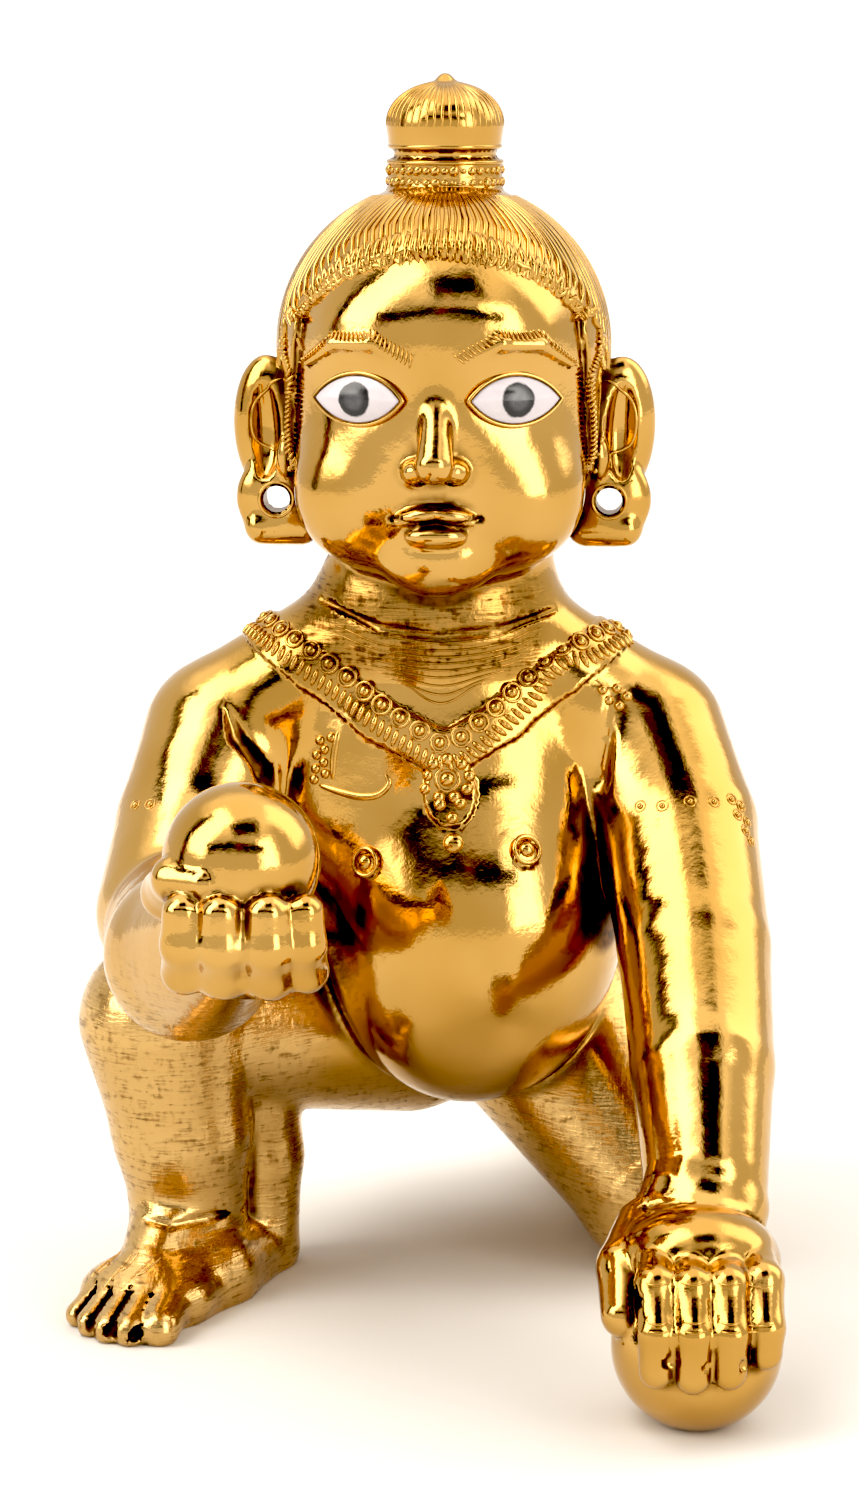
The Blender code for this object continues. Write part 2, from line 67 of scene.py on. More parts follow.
# The casting is one piece of brass with everything but the eyes. It was cast from a wax model, filed,
# chased with punches and polished. Its hollows are painted darker: painted shade, with the tarnish that
# gathers there.
KNOT_TOP = 124.63
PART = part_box("figure")[1].z / KNOT_TOP
MIDDLE = (-1.1, -6.9)
SPACE_LOW = (-40.0, -65.0, -3.0)
SPACE_HIGH = (38.0, 52.0, 128.0)
GRAIN = 0.45
MOST_TRIANGLES = 198000
UNEVENNESS = 0.10
HOLLOW_REACH = 2.0
HEAD_PLACE = (1.4, -1.0, 74.0)
HEAD_TURN = (0.0, 0.0, -3.0)
EAR_HOLE = 2.7
EAR_HOLE_PLACE = (17.0, 0.0, 8.2)
EYE_PLACE = (7.3, -12.7, 19.6)
EYE_TURN = (-3.0, 0.0, 25.0)
EYE_WIDTH = 9.6
EYE_OPENING = 4.7
EYE_THICKNESS = 2.4
EYE_BULGE = 0.8
HAIRLINE_SLOPE = 1.05
HAIRLINE_LEVEL = 21.5
KNOT_MIDDLE = 3.5
FIRST_FINGER = 20.9
FINGER_STEP = 3.35


class Value:
    """A number, place or colour that comes out of a node. A sum on it adds the nodes for the sum."""

    def __init__(self, socket):
        self.socket = socket
        self.tree = socket.id_data

    def is_vector(self):
        return self.socket.type == "VECTOR"

    def __add__(self, other):
        return combine("ADD", self, other)

    def __radd__(self, other):
        return combine("ADD", other, self)

    def __sub__(self, other):
        return combine("SUBTRACT", self, other)

    def __rsub__(self, other):
        return combine("SUBTRACT", other, self)

    def __mul__(self, other):
        return combine("MULTIPLY", self, other)

    def __rmul__(self, other):
        return combine("MULTIPLY", self, other)

    def __truediv__(self, other):
        return combine("DIVIDE", self, other)

    def node(self, kind, values=(), out=None, **settings):
        return add_node(self.tree, kind, values, out, **settings)

    def parts(self):
        """The X, Y and Z of a place."""
        first = self.node("ShaderNodeSeparateXYZ", [self])
        return [Value(socket) for socket in first.socket.node.outputs]


def add_node(tree, kind, values=(), out=None, **settings):
    """A node: first its settings, then its sockets, in order or by name. Gives one of its outputs."""
    node = tree.nodes.new(kind)
    for name, value in settings.items():
        setattr(node, name, value)
    usable = [socket for socket in node.inputs if socket.enabled]
    if isinstance(values, dict):
        pairs = [(next(s for s in usable if s.name == name), value) for name, value in values.items()]
    else:
        pairs = zip(usable, values)
    for socket, value in pairs:
        if isinstance(value, Value):
            tree.links.new(value.socket, socket)
        elif value is not None:
            socket.default_value = value
    if out:
        return Value(node.outputs[out])
    return Value(next(socket for socket in node.outputs if socket.enabled))


def tree_of(values):
    return next(value.tree for value in values if isinstance(value, Value))


def number(operation, *values):
    return add_node(tree_of(values), "ShaderNodeMath", values, operation=operation)


def vector(operation, *values):
    return add_node(tree_of(values), "ShaderNodeVectorMath", values, operation=operation)


def combine(operation, first, second):
    """Arithmetic on numbers and places alike."""
    vectors = [value.is_vector() if isinstance(value, Value) else isinstance(value, tuple)
               for value in (first, second)]
    if operation == "MULTIPLY" and vectors == [True, False]:
        return vector("SCALE", first, second)
    return vector(operation, first, second) if any(vectors) else number(operation, first, second)


def place(x, y, z):
    """A place from its three coordinates, of which one at least is a field."""
    return add_node(tree_of((x, y, z)), "ShaderNodeCombineXYZ", (x, y, z))


def new_tree(name, inputs, output=("Mesh", "Geometry")):
    """A tree with named inputs and one output, and the values of the inputs."""
    tree = bpy.data.node_groups.new(name, "GeometryNodeTree")
    for title, kind in inputs.items():
        tree.interface.new_socket(title, in_out="INPUT", socket_type="NodeSocket" + kind)
    tree.interface.new_socket(output[0], in_out="OUTPUT", socket_type="NodeSocket" + output[1])
    given = tree.nodes.new("NodeGroupInput").outputs
    return tree, {title: Value(given[title]) for title in inputs}


def give(value, kind="NodeGroupOutput"):
    """Links a value to the output of its tree."""
    value.tree.links.new(value.socket, value.tree.nodes.new(kind).inputs[0])


def shape_group(name, rule, inputs=None):
    """A node group whose rule gives the distance from a place to a shape."""
    tree, given = new_tree(name, {"Place": "Vector", **(inputs or {})}, ("Distance", "Float"))
    give(rule(*given.values()))
    return tree


def distance_to(group, at, *values):
    """The distance from a place to a form, all in parts."""
    node = at.tree.nodes.new("GeometryNodeGroup")
    node.node_tree = group
    at.tree.links.new(at.socket, node.inputs[0])
    for socket, value in zip(node.inputs[1:], values):
        socket.default_value = value
    return Value(node.outputs[0])


def radians(turn):
    """Three angles, from degrees."""
    return tuple(math.radians(angle) for angle in turn)


def turned(at, centre, turn):
    """A point in the frame of a form that sits at a centre, turned about it."""
    return at.node("ShaderNodeVectorRotate", (at - centre, (0, 0, 0), turn), rotation_type="EULER_XYZ",
                   invert=True)


def ball_rule(at, centre, radii, turn):
    scaled = turned(at, centre, turn) / radii
    reach = vector("LENGTH", scaled)
    return reach * (reach - 1.0) / vector("LENGTH", scaled / radii)


def limb_rule(at, start, end, start_radius, end_radius):
    along = end - start
    offset = at - start
    share = number("DIVIDE", vector("DOT_PRODUCT", offset, along), vector("DOT_PRODUCT", along, along))
    share = share.node("ShaderNodeClamp", (share, 0.0, 1.0))
    beside = vector("LENGTH", offset - vector("SCALE", along, share))
    return beside - (share * (end_radius - start_radius) + start_radius)


def drum_rule(at, centre, radius, half_height, rounding):
    x, y, z = (at - centre).parts()
    across = number("SQRT", x * x + y * y) - (radius - rounding)
    up = number("ABSOLUTE", z) - (half_height - rounding)
    outside = number("SQRT", number("POWER", number("MAXIMUM", across, 0.0), 2.0)
                     + number("POWER", number("MAXIMUM", up, 0.0), 2.0))
    return outside + number("MINIMUM", number("MAXIMUM", across, up), 0.0) - rounding


BALL = shape_group("ball", ball_rule, {"Centre": "Vector", "Radii": "Vector", "Turn": "Vector"})
LIMB = shape_group("limb", limb_rule, {"Start": "Vector", "End": "Vector", "Start Radius": "Float",
                                       "End Radius": "Float"})
DRUM = shape_group("drum", drum_rule, {"Centre": "Vector", "Radius": "Float", "Half Height": "Float",
                                       "Rounding": "Float"})


def ball(at, centre, radii, turn=(0, 0, 0)):
    """An oval, or a sphere where one radius is given, turned by degrees."""
    if not isinstance(radii, tuple):
        radii = (radii,) * 3
    return distance_to(BALL, at, centre, radii, radians(turn))


def limb(at, start, end, start_radius, end_radius):
    """A round cone with round ends."""
    return distance_to(LIMB, at, start, end, start_radius, end_radius)


def drum(at, centre, radius, half_height, rounding):
    """An upright cylinder with rounded edges."""
    return distance_to(DRUM, at, centre, radius, half_height, rounding)


def melt(first, second, softness):
    """Two forms joined, with a fillet."""
    return number("SMOOTH_MIN", first, second, softness)


def carve(form, tool, softness):
    """A form with another cut out of it, with softened edges."""
    return number("SMOOTH_MAX", form, tool * -1.0, softness)


def keep(form, region, softness):
    """The stretch of a form that lies inside a region."""
    return number("SMOOTH_MAX", form, region, softness)


def chain(at, points, radii, softness):
    """Round cones end to end through a few points."""
    form = limb(at, points[0], points[1], radii[0], radii[1])
    for step in range(1, len(points) - 1):
        link = limb(at, points[step], points[step + 1], radii[step], radii[step + 1])
        form = melt(form, link, softness)
    return form


def mirrored(at):
    """Both sides of the head share one set of forms."""
    x, y, z = at.parts()
    return place(number("ABSOLUTE", x), y, z)


def skull(at):
    """The bare head, with full cheeks, and the top of the neck."""
    form = melt(ball(at, (0, 2, 23.8), (16.0, 17.4, 15.8)),
                ball(at, (0, -2.2, 14.6), (15.0, 13.6, 15.4)), 4)
    form = melt(form, ball(at, (0, 3.5, 17.0), (13.6, 12.8, 10.5)), 4)
    return melt(form, ball(at, (0, 2.0, 0.0), (11.4, 9.6, 15.0)), 3)


def face(at, side, form):
    """A calm, regular child's face: eye line at half height, nose and mouth by thirds."""
    form = melt(form, ball(side, (6.6, -7.6, 9.6), (7.8, 7.0, 7.4)), 4)
    form = melt(form, ball(at, (0, -10.8, 3.6), (5.6, 4.4, 4.0)), 3.5)
    form = melt(form, ball(at, (0, -8.6, 26.0), (11.0, 6.0, 6.0)), 4)
    form = carve(form, ball(side, (7.6, -17.9, 19.6), (7.0, 4.0, 3.9), (0, 0, 25)), 1.8)
    bridge = limb(at, (0, -13.4, 21.0), (0, -18.0, 13.6), 1.1, 1.9)
    form = melt(form, bridge, 1.6)
    form = melt(form, ball(side, (1.9, -16.0, 12.8), (1.5, 1.9, 1.3)), 0.9)
    form = carve(form, limb(side, (1.1, -17.0, 11.2), (1.2, -16.2, 12.6), 0.5, 0.4), 0.5)
    form = melt(form, ball(side, (1.5, -14.6, 8.4), (2.8, 2.0, 1.0), (0, 10, 16)), 0.7)
    form = melt(form, ball(at, (0, -14.2, 6.3), (3.2, 2.1, 1.35)), 0.7)
    mouth = chain(side, [(0, -16.7, 7.4), (2.4, -15.9, 7.5), (4.6, -14.3, 8.0)], [0.4, 0.35, 0.2], 0.2)
    form = carve(form, mouth, 0.5)
    arch = [(2.6, -14.9, 23.4), (6.4, -14.3, 25.2), (10.2, -12.3, 25.0), (13.2, -9.0, 22.8)]
    return melt(form, chain(side, arch, [0.5, 0.8, 0.7, 0.4], 0.5), 0.8)


def hair(at, side, form):
    """Combed hair over the skull, with a raised hem above the forehead, by the ears and at the nape."""
    x, y, z = at.parts()
    outside = (z + y * HAIRLINE_SLOPE - HAIRLINE_LEVEL) * -0.69
    outside = number("SMOOTH_MAX", outside, z * -1.0 + 5.0, 2.0)
    lock = [(15.2, -4.6, 26.0), (15.9, -4.0, 19.0), (15.4, -4.0, 12.5)]
    outside = melt(outside, chain(side, lock, [2.2, 2.0, 1.2], 0.5), 1.0)
    return keep(form - 0.75, outside, 0.4)


def knot(at):
    """The knot of hair on the crown: a band, a groove and a bud that comes to a point."""
    form = melt(drum(at, (0, KNOT_MIDDLE, 40.4), 5.85, 2.2, 0.6),
                drum(at, (0, KNOT_MIDDLE, 43.0), 5.2, 2.5, 0.4), 0.3)
    form = melt(form, drum(at, (0, KNOT_MIDDLE, 45.0), 5.8, 1.7, 0.9), 0.3)
    form = melt(form, ball(at, (0, KNOT_MIDDLE, 46.0), (5.95, 5.95, 4.2)), 0.6)
    return melt(form, limb(at, (0, KNOT_MIDDLE, 46.2), (0, KNOT_MIDDLE, 50.3), 4.0, 0.7), 1.6)


def ear(side):
    """A tall ear that faces forward, with a rim, a deep hollow, and a long square lobe."""
    form = ball(side, (17.9, 1.4, 15.3), (3.9, 2.2, 7.4), (0, 3, 18))
    lobe = melt(limb(side, (14.8, 0.8, 5.3), (18.6, -0.2, 5.2), 2.1, 1.8),
                ball(side, (17.3, 0.4, 8.2), (4.0, 2.1, 4.4)), 1.2)
    form = melt(form, lobe, 1.2)
    form = melt(form, ball(side, (15.0, 1.8, 13.0), (3.0, 3.0, 7.5)), 2.0)
    form = carve(form, ball(side, (18.6, -1.6, 15.6), (1.9, 2.7, 5.4), (0, 3, 18)), 0.5)
    return melt(form, ball(side, (16.0, -1.2, 12.6), (1.0, 1.3, 2.2)), 0.6)


def head(at):
    """Skull, face, hair, knot and ears, in the frame of the head."""
    at = turned(at, HEAD_PLACE, radians(HEAD_TURN))
    side = mirrored(at)
    bare = skull(at)
    form = melt(face(at, side, bare), hair(at, side, bare), 0.4)
    form = melt(form, knot(at), 0.9)
    return melt(form, ear(side), 1.0)


def torso(at):
    """Chest, sloping shoulders, neck, round belly, hips and back."""
    form = melt(ball(at, (0.8, 2.0, 57.0), (17.5, 12.8, 14.0), (-12, 0, 0)),
                ball(at, (0.9, 3.0, 49.5), (20.0, 14.4, 16.0)), 3)
    for way in (-1, 1):
        shoulder = limb(at, (0.4 + 6.2 * way, 1.5, 66.6), (0.4 + 21.4 * way, 2.0, 56.8), 8.1, 8.5)
        form = melt(form, shoulder, 3)
    form = melt(form, ball(at, (0.9, 0.8, 70), (12.9, 10.8, 13.0)), 3.5)
    form = melt(form, ball(at, (4.2, -0.2, 37.8), (16.0, 17.0, 19.4)), 6)
    form = melt(form, ball(at, (4.0, 16.5, 26.5), (17.5, 13.5, 12.4)), 6)
    form = melt(form, limb(at, (0.8, 9, 58), (4, 14, 34), 10.5, 12), 4)
    form = melt(form, ball(at, (-4.8, 20, 24), 10.8), 3)
    form = melt(form, ball(at, (12.8, 20, 24), 10.8), 3)
    return carve(form, limb(at, (0.8, 21.5, 62), (3.2, 29.5, 36), 1.2, 1.2), 3)


def chest_carving(at, body):
    """Nipples and a necklace, in low relief on the body."""
    x, y, z = at.parts()
    seen = place(x, 0.0, z)
    points = [(-17.6, 0, 69.0), (-11.8, 0, 65.2), (-5.4, 0, 60.8), (1.6, 0, 57.4), (7.8, 0, 60.8),
              (13.4, 0, 64.8), (19.0, 0, 68.4)]
    collar = chain(seen, points, [1.9, 2.0, 2.1, 2.2, 2.1, 2.0, 1.9], 1)
    collar = melt(collar, ball(seen, (2.1, 0, 53.6), (2.7, 3, 3.2)), 1)
    for nipple in ((-6.5, 0, 46.2), (9.9, 0, 47.6)):
        collar = melt(collar, ball(seen, nipple, 1.2), 0.1)
    return melt(body, keep(body - 0.45, keep(collar, y - 2.0, 0.5), 0.6), 0.4)


def left_arm(at):
    """The straight arm that the infant leans on."""
    points = [(22.3, 1.0, 56.6), (25.5, -5.0, 48.6), (26.7, -15.5, 38.5), (26.9, -26.0, 29.0),
              (26.7, -34.0, 20.4)]
    return chain(at, points, [8.7, 8.3, 7.7, 7.1, 6.1], 0.7)


def right_arm(at):
    """The bent arm, whose forearm is held out to the front."""
    upper = [(-21.1, 1.0, 56.6), (-24.2, -5, 48.6), (-25.6, -13.0, 41.5)]
    fore = [(-24.0, -17.0, 40.6), (-23.2, -28, 41.0), (-18.4, -43.5, 46.6)]
    return melt(chain(at, upper, [8.7, 8.1, 8.2], 0.9), chain(at, fore, [8.5, 8.4, 5.6], 0.9), 1.0)


def finger(at, points, thickness):
    """Knuckle, middle joint, last joint and tip."""
    return chain(at, points, [thickness * share for share in (1.0, 1.04, 1.0, 0.9)], 0.8)


def left_hand(at):
    """The hand over the lower sweet: four fingers in front of it and the thumb beside it."""
    form = melt(ball(at, (25.4, -41.6, 14.2), (8.0, 8.4, 5.6), (-30, 0, 0)),
                ball(at, (26.2, -36.5, 18.0), (6.5, 5.5, 5.0)), 2)
    for count in range(4):
        x = FIRST_FINGER + FINGER_STEP * count
        back = (0.4, 0.0, 0.3, 1.7)[count]
        knuckle = (25.4 + (x - 25.4) * 0.9, -45.6 + back, 16.4)
        tips = [knuckle, (x, -51.2 + back, 15.2), (x, -54.0 + back, 11.6), (x, -54.2 + back, 7.6 + back)]
        form = melt(form, finger(at, tips, 1.86), 0.9)
    thumb = chain(at, [(20.6, -38.5, 16.6), (18.4, -43.4, 14.4), (18.2, -47.6, 11.2)], [2.9, 2.6, 2.2], 1)
    form = melt(form, thumb, 1.0)
    return carve(form, ball(at, (19.6, -49.6, 13.4), (0.9, 3.4, 2.4)), 0.6)


def right_hand(at):
    """The raised hand: the sweet lies in the palm, and the fingers curl up in front of it."""
    form = ball(at, (-16.8, -49.5, 47.8), (7.4, 8.2, 4.3), (14, 0, 0))
    for count in range(4):
        x = (-21.9, -18.4, -14.3, -11.0)[count]
        back = (0.9, 0.0, 0.0, 1.0)[count]
        thickness = (1.95, 2.15, 2.2, 1.85)[count]
        knuckle = (-16.6 + (x + 16.6) * 0.9, -51.0, 46.2)
        points = [knuckle, (x, -57.2 + back, 46.6), (x, -59.6 + back, 49.6), (x, -59.6 + back, 52.6)]
        form = melt(form, finger(at, points, thickness), 1.5)
    thumb = [(-21.0, -46.5, 49.0), (-23.6, -51.5, 52.6), (-22.7, -56.0, 55.0), (-19.8, -58.4, 55.2)]
    return melt(form, chain(at, thumb, [2.9, 2.4, 2.0, 1.6], 0.8), 0.9)


def right_leg(at):
    """Thigh, raised knee, shin, calf and a flat foot that points outwards."""
    form = limb(at, (-3, 13, 24.6), (-27.0, -6.5, 28.4), 11.4, 8.8)
    shin = chain(at, [(-27.2, -7.8, 28.8), (-25.8, -7.2, 17), (-25.2, -5.8, 8)], [9.0, 7.1, 6.0], 2)
    calf = chain(at, [(-19.6, -0.5, 21), (-18.0, 0.2, 12), (-17.9, -0.4, 2)], [6.2, 4.4, 3.9], 2)
    form = melt(form, melt(shin, calf, 1.2), 1.5)
    foot = chain(at, [(-18.2, 0.0, 1.5), (-23.2, -10.0, 2.2), (-27.0, -16.6, 1.4)], [3.9, 5.2, 4.6], 2)
    foot = melt(foot, ball(at, (-28.9, -16.2, 2.2), (7.2, 6.0, 3.8), (0, 0, -28)), 2)
    foot = melt(foot, limb(at, (-25.6, -7.0, 8), (-28.6, -15.0, 4.2), 5.7, 3.4), 2)
    roots = ((-26.0, -19.0, 2.8), (-28.4, -19.2, 3.0), (-30.4, -18.5, 2.8), (-32.0, -17.2, 2.6),
             (-33.2, -15.4, 2.4))
    tips = ((-27.1, -24.6, 1.5), (-30.0, -25.1, 1.4), (-32.3, -24.2, 1.3), (-34.2, -22.4, 1.2),
            (-35.6, -19.6, 1.1))
    for root, tip, thickness in zip(roots, tips, (2.1, 1.7, 1.6, 1.5, 1.4)):
        foot = melt(foot, limb(at, root, tip, thickness + 0.3, thickness), 1.1)
    for count in range(4):
        start = (Vector(roots[count]) + Vector(roots[count + 1])) / 2 + Vector((0, 0, 2.0))
        end = (Vector(tips[count]) + Vector(tips[count + 1])) / 2 + Vector((-0.9, -1.4, -0.1))
        foot = carve(foot, limb(at, tuple(start), tuple(end), 0.3, 0.75), 0.3)
    return melt(form, foot, 1.8)


def left_leg(at):
    """Thigh, the knee on the ground, the shin along it, and a foot with its sole turned up."""
    form = limb(at, (11.5, 13, 24.4), (24.0, -1.0, 9.2), 11.8, 8.6)
    shin = chain(at, [(24.0, -0.5, 8.0), (21.5, 16, 7.4), (18.5, 32.0, 5.6)], [8.3, 7.4, 4.8], 2)
    form = melt(form, shin, 1.5)
    foot = chain(at, [(18.5, 31, 6.4), (18.0, 36, 5.0), (17.6, 42.0, 3.4)], [4.6, 4.2, 3.6], 2)
    foot = melt(foot, ball(at, (18.4, 33.5, 8.6), (3.6, 4, 4)), 2)
    for count in range(5):
        x = 21.8 - 2.05 * count
        thickness = (2.0, 1.5, 1.45, 1.4, 1.3)[count]
        toe = limb(at, (x * 0.8 + 3.6, 41.0, 3.2), (x, 46.0 - 0.6 * count, 1.7), thickness + 0.3, thickness)
        foot = melt(foot, toe, 0.6)
    return melt(form, foot, 1.5)


def figure_form(at):
    """The distance to the whole casting, in parts, before the cuts."""
    body = melt(torso(at), melt(right_leg(at), left_leg(at), 2), 1.8)
    body = chest_carving(at, body)
    form = melt(body, left_arm(at), 1.6)
    form = melt(form, right_arm(at), 1.6)
    lower_sweet = ball(at, (25.2, -45.6, 7.5), 8.1)
    upper_sweet = ball(at, (-16.9, -52.8, 55.9), 7.15)
    form = melt(form, melt(left_hand(at), lower_sweet, 0.4), 1.2)
    form = melt(form, melt(right_hand(at), upper_sweet, 0.4), 1.2)
    return melt(form, head(at), 1.0)


def grow(tree, name, inputs):
    """An object whose mesh a tree of nodes makes, with the tree's named inputs set."""
    thing = bpy.data.objects.new(name, bpy.data.meshes.new(name))
    bpy.context.scene.collection.objects.link(thing)
    add_modifier(thing, tree, inputs)
    return thing


def add_modifier(thing, tree, inputs):
    """Adds a tree to an object, and sets the tree's named inputs by their identifiers."""
    nodes = thing.modifiers.new(tree.name, "NODES")
    nodes.node_group = tree
    for item in tree.interface.items_tree:
        if item.in_out == "INPUT" and item.name in inputs:
            nodes[item.identifier] = inputs[item.name]


def settle(thing, finish):
    """Turns what the modifiers make into a plain mesh, and takes the modifiers off."""
    mesh = bpy.data.meshes.new_from_object(thing.evaluated_get(bpy.context.evaluated_depsgraph_get()))
    thing.modifiers.clear()
    thing.data = mesh
    mesh.name = thing.name
    mesh.materials.clear()
    mesh.materials.append(finish)
    return thing


def close_tree(mesh, finish):
    """Ends a tree with real geometry in the finish of its piece."""
    mesh = mesh.node("GeometryNodeRealizeInstances", [mesh])
    mesh = mesh.node("GeometryNodeSetMaterial", {"Geometry": mesh, "Material": finish})
    give(mesh)


def noise(at, scale, detail=2.0):
    return at.node("ShaderNodeTexNoise", {"Vector": at, "Scale": scale, "Detail": detail})


def creases(at, form):
    """Lines cut with a chisel: both armpits, neck, wrist, ankle and thumb, and nails on the lower hand.
    Each has its points, its radii, and the softness of its bends and of its edges."""
    armpit = [0.2, 0.7, 1.1, 0.9]
    cuts = (
        ([(-20.6, -6.4, 61.4), (-19.6, -7.4, 58.6), (-17.2, -7.0, 54.8), (-15.0, -8.0, 50.8)],
         armpit, 0.6, 1.1),
        ([(18.7, -6.2, 62.6), (18.0, -7.2, 58.6), (17.2, -7.6, 54.2), (16.0, -9.8, 50.0)], armpit, 0.6, 1.1),
        ([(-11.2, -3.6, 72.3), (-5.0, -9.0, 70.0), (1.1, -10.3, 69.4), (7.1, -9.0, 69.8), (13.0, -4.0, 71.2)],
         [0.3, 0.5, 0.5, 0.5, 0.3], 0.3, 0.7),
        ([(18.6, -38.0, 17.6), (22.2, -41.0, 20.1), (25.4, -42.4, 20.6), (29.4, -42.3, 19.8),
          (32.0, -39.5, 17.0)], [0.1, 0.25, 0.25, 0.25, 0.1], 0.3, 0.9),
        ([(-30.4, -13.0, 9.4), (-26.6, -14.4, 8.8), (-22.4, -12.0, 9.0), (-18.6, -5.6, 8.0)],
         [0.1, 0.3, 0.3, 0.1], 0.3, 1.2))
    for line, radii, bend, edge in cuts:
        form = carve(form, chain(at, line, radii, bend), edge)
    form = carve(form, limb(at, (19.2, -47.4, 17.0), (19.3, -52.6, 11.4), 0.5, 1.3), 0.4)
    for nail in ((22.2, -55.4, 9.3), (25.7, -55.9, 8.9), (29.1, -55.3, 8.9)):
        form = carve(form, ball(at, nail, 0.75), 0.15)
    return form


def finished_form(at):
    """The casting after the bench work: drilled ears, cut creases, a file's waves and a flat underside."""
    side = mirrored(turned(at, HEAD_PLACE, radians(HEAD_TURN)))
    x, y, z = EAR_HOLE_PLACE
    drill = limb(side, (x, y - 8, z), (x, y + 8, z), EAR_HOLE / 2, EAR_HOLE / 2)
    drilled = carve(figure_form(at), drill, 0.3)
    waves = (noise(at, 0.13, 1.0) - 0.5) * UNEVENNESS + (noise(at, 0.45, 1.0) - 0.5) * (UNEVENNESS * 0.25)
    return keep(creases(at, drilled) + waves, at.parts()[2] * -1.0, 0.15)


FORM = shape_group("form of the casting", finished_form)


def slope_of(group, at, step=0.08):
    """The direction in which the distance grows fastest, and how fast."""
    distance = distance_to(group, at)
    rises = [distance_to(group, at + tuple(step * (axis == way) for way in range(3))) - distance
             for axis in range(3)]
    return place(*rises) / (step, step, step)


def raw_casting():
    """The form is filled with a fog of fine cells, and the skin of the fog is the casting."""
    tree, given = new_tree("raw casting", {"Cells X": "Int", "Cells Y": "Int", "Cells Z": "Int",
                                           "Part": "Float", "Finish": "Material"})
    at = add_node(tree, "GeometryNodeInputPosition")
    density = 0.5 - distance_to(FORM, at) * 0.1
    fog = add_node(tree, "GeometryNodeVolumeCube", {
        "Density": density, "Min": SPACE_LOW, "Max": SPACE_HIGH, "Resolution X": given["Cells X"],
        "Resolution Y": given["Cells Y"], "Resolution Z": given["Cells Z"]})
    skin = fog.node("GeometryNodeVolumeToMesh", {"Volume": fog, "Threshold": 0.5})
    scale = place(given["Part"], given["Part"], given["Part"])
    shift = place(given["Part"] * -MIDDLE[0], given["Part"] * -MIDDLE[1], 0.0)
    skin = skin.node("GeometryNodeTransform", {"Geometry": skin, "Translation": shift, "Scale": scale})
    close_tree(skin, given["Finish"])
    return tree


def fine_casting():
    """Every point moves on to the exact form, and notes its slope and how hollow the place is."""
    tree, given = new_tree("fine casting", {"Mesh": "Geometry", "Part": "Float", "Reach": "Float",
                                            "Finish": "Material"})
    mesh = given["Mesh"]
    at = add_node(tree, "GeometryNodeInputPosition") / given["Part"] + (*MIDDLE, 0.0)
    slope = slope_of(FORM, at)
    for count in range(2):
        step = distance_to(FORM, at) / vector("DOT_PRODUCT", slope, slope)
        step = number("MINIMUM", number("MAXIMUM", step, -0.6), 0.6) * given["Part"]
        mesh = mesh.node("GeometryNodeSetPosition", {"Geometry": mesh, "Offset": slope * (step * -1.0)})
    slope = vector("NORMALIZE", slope)
    outside = distance_to(FORM, at + slope * given["Reach"]) / given["Reach"]
    for name, value, kind in (("slope", slope, "FLOAT_VECTOR"), ("hollow", 1.0 - outside, "FLOAT")):
        mesh = mesh.node("GeometryNodeStoreNamedAttribute", {"Geometry": mesh, "Name": name, "Value": value},
                         data_type=kind)
    close_tree(mesh, given["Finish"])
    return tree


def drop_bubbles(mesh):
    """Keeps the outer skin alone, without the skins of small gaps that are closed in a hand."""
    shape = bmesh.new()
    shape.from_mesh(mesh)
    outer, seen = set(), set()
    for start in shape.verts:
        if start in seen:
            continue
        skin, edge = {start}, [start]
        while edge:
            point = edge.pop()
            for link in point.link_edges:
                other = link.other_vert(point)
                if other not in skin:
                    skin.add(other)
                    edge.append(other)
        seen |= skin
        outer = max(outer, skin, key=len)
    bmesh.ops.delete(shape, geom=[point for point in shape.verts if point not in outer], context="VERTS")
    shape.to_mesh(mesh)
    shape.free()


def shader(name):
    """A new material: its tree, and a place on the piece."""
    material = bpy.data.materials.new(name)
    material.use_nodes = True
    material.node_tree.nodes.clear()
    at = add_node(material.node_tree, "ShaderNodeTexCoord", out="Object")
    return material, at


def attribute(tree, name):
    return add_node(tree, "ShaderNodeAttribute", out="Fac", attribute_name=name)


def ramp(value, low, high, start=0.0, end=1.0):
    """Goes smoothly from start to end as the value goes from low to high."""
    return value.node("ShaderNodeMapRange", [value, low, high, start, end], interpolation_type="SMOOTHSTEP")


def blend(share, first, second):
    """Colours mixed by a share."""
    tree = share.tree
    node = tree.nodes.new("ShaderNodeMix")
    node.data_type = "RGBA"
    for socket, value in zip([s for s in node.inputs if s.enabled], (share, first, second)):
        if isinstance(value, Value):
            tree.links.new(value.socket, socket)
        else:
            socket.default_value = value if isinstance(value, float) else (*value, 1.0)
    return Value(next(s for s in node.outputs if s.enabled))


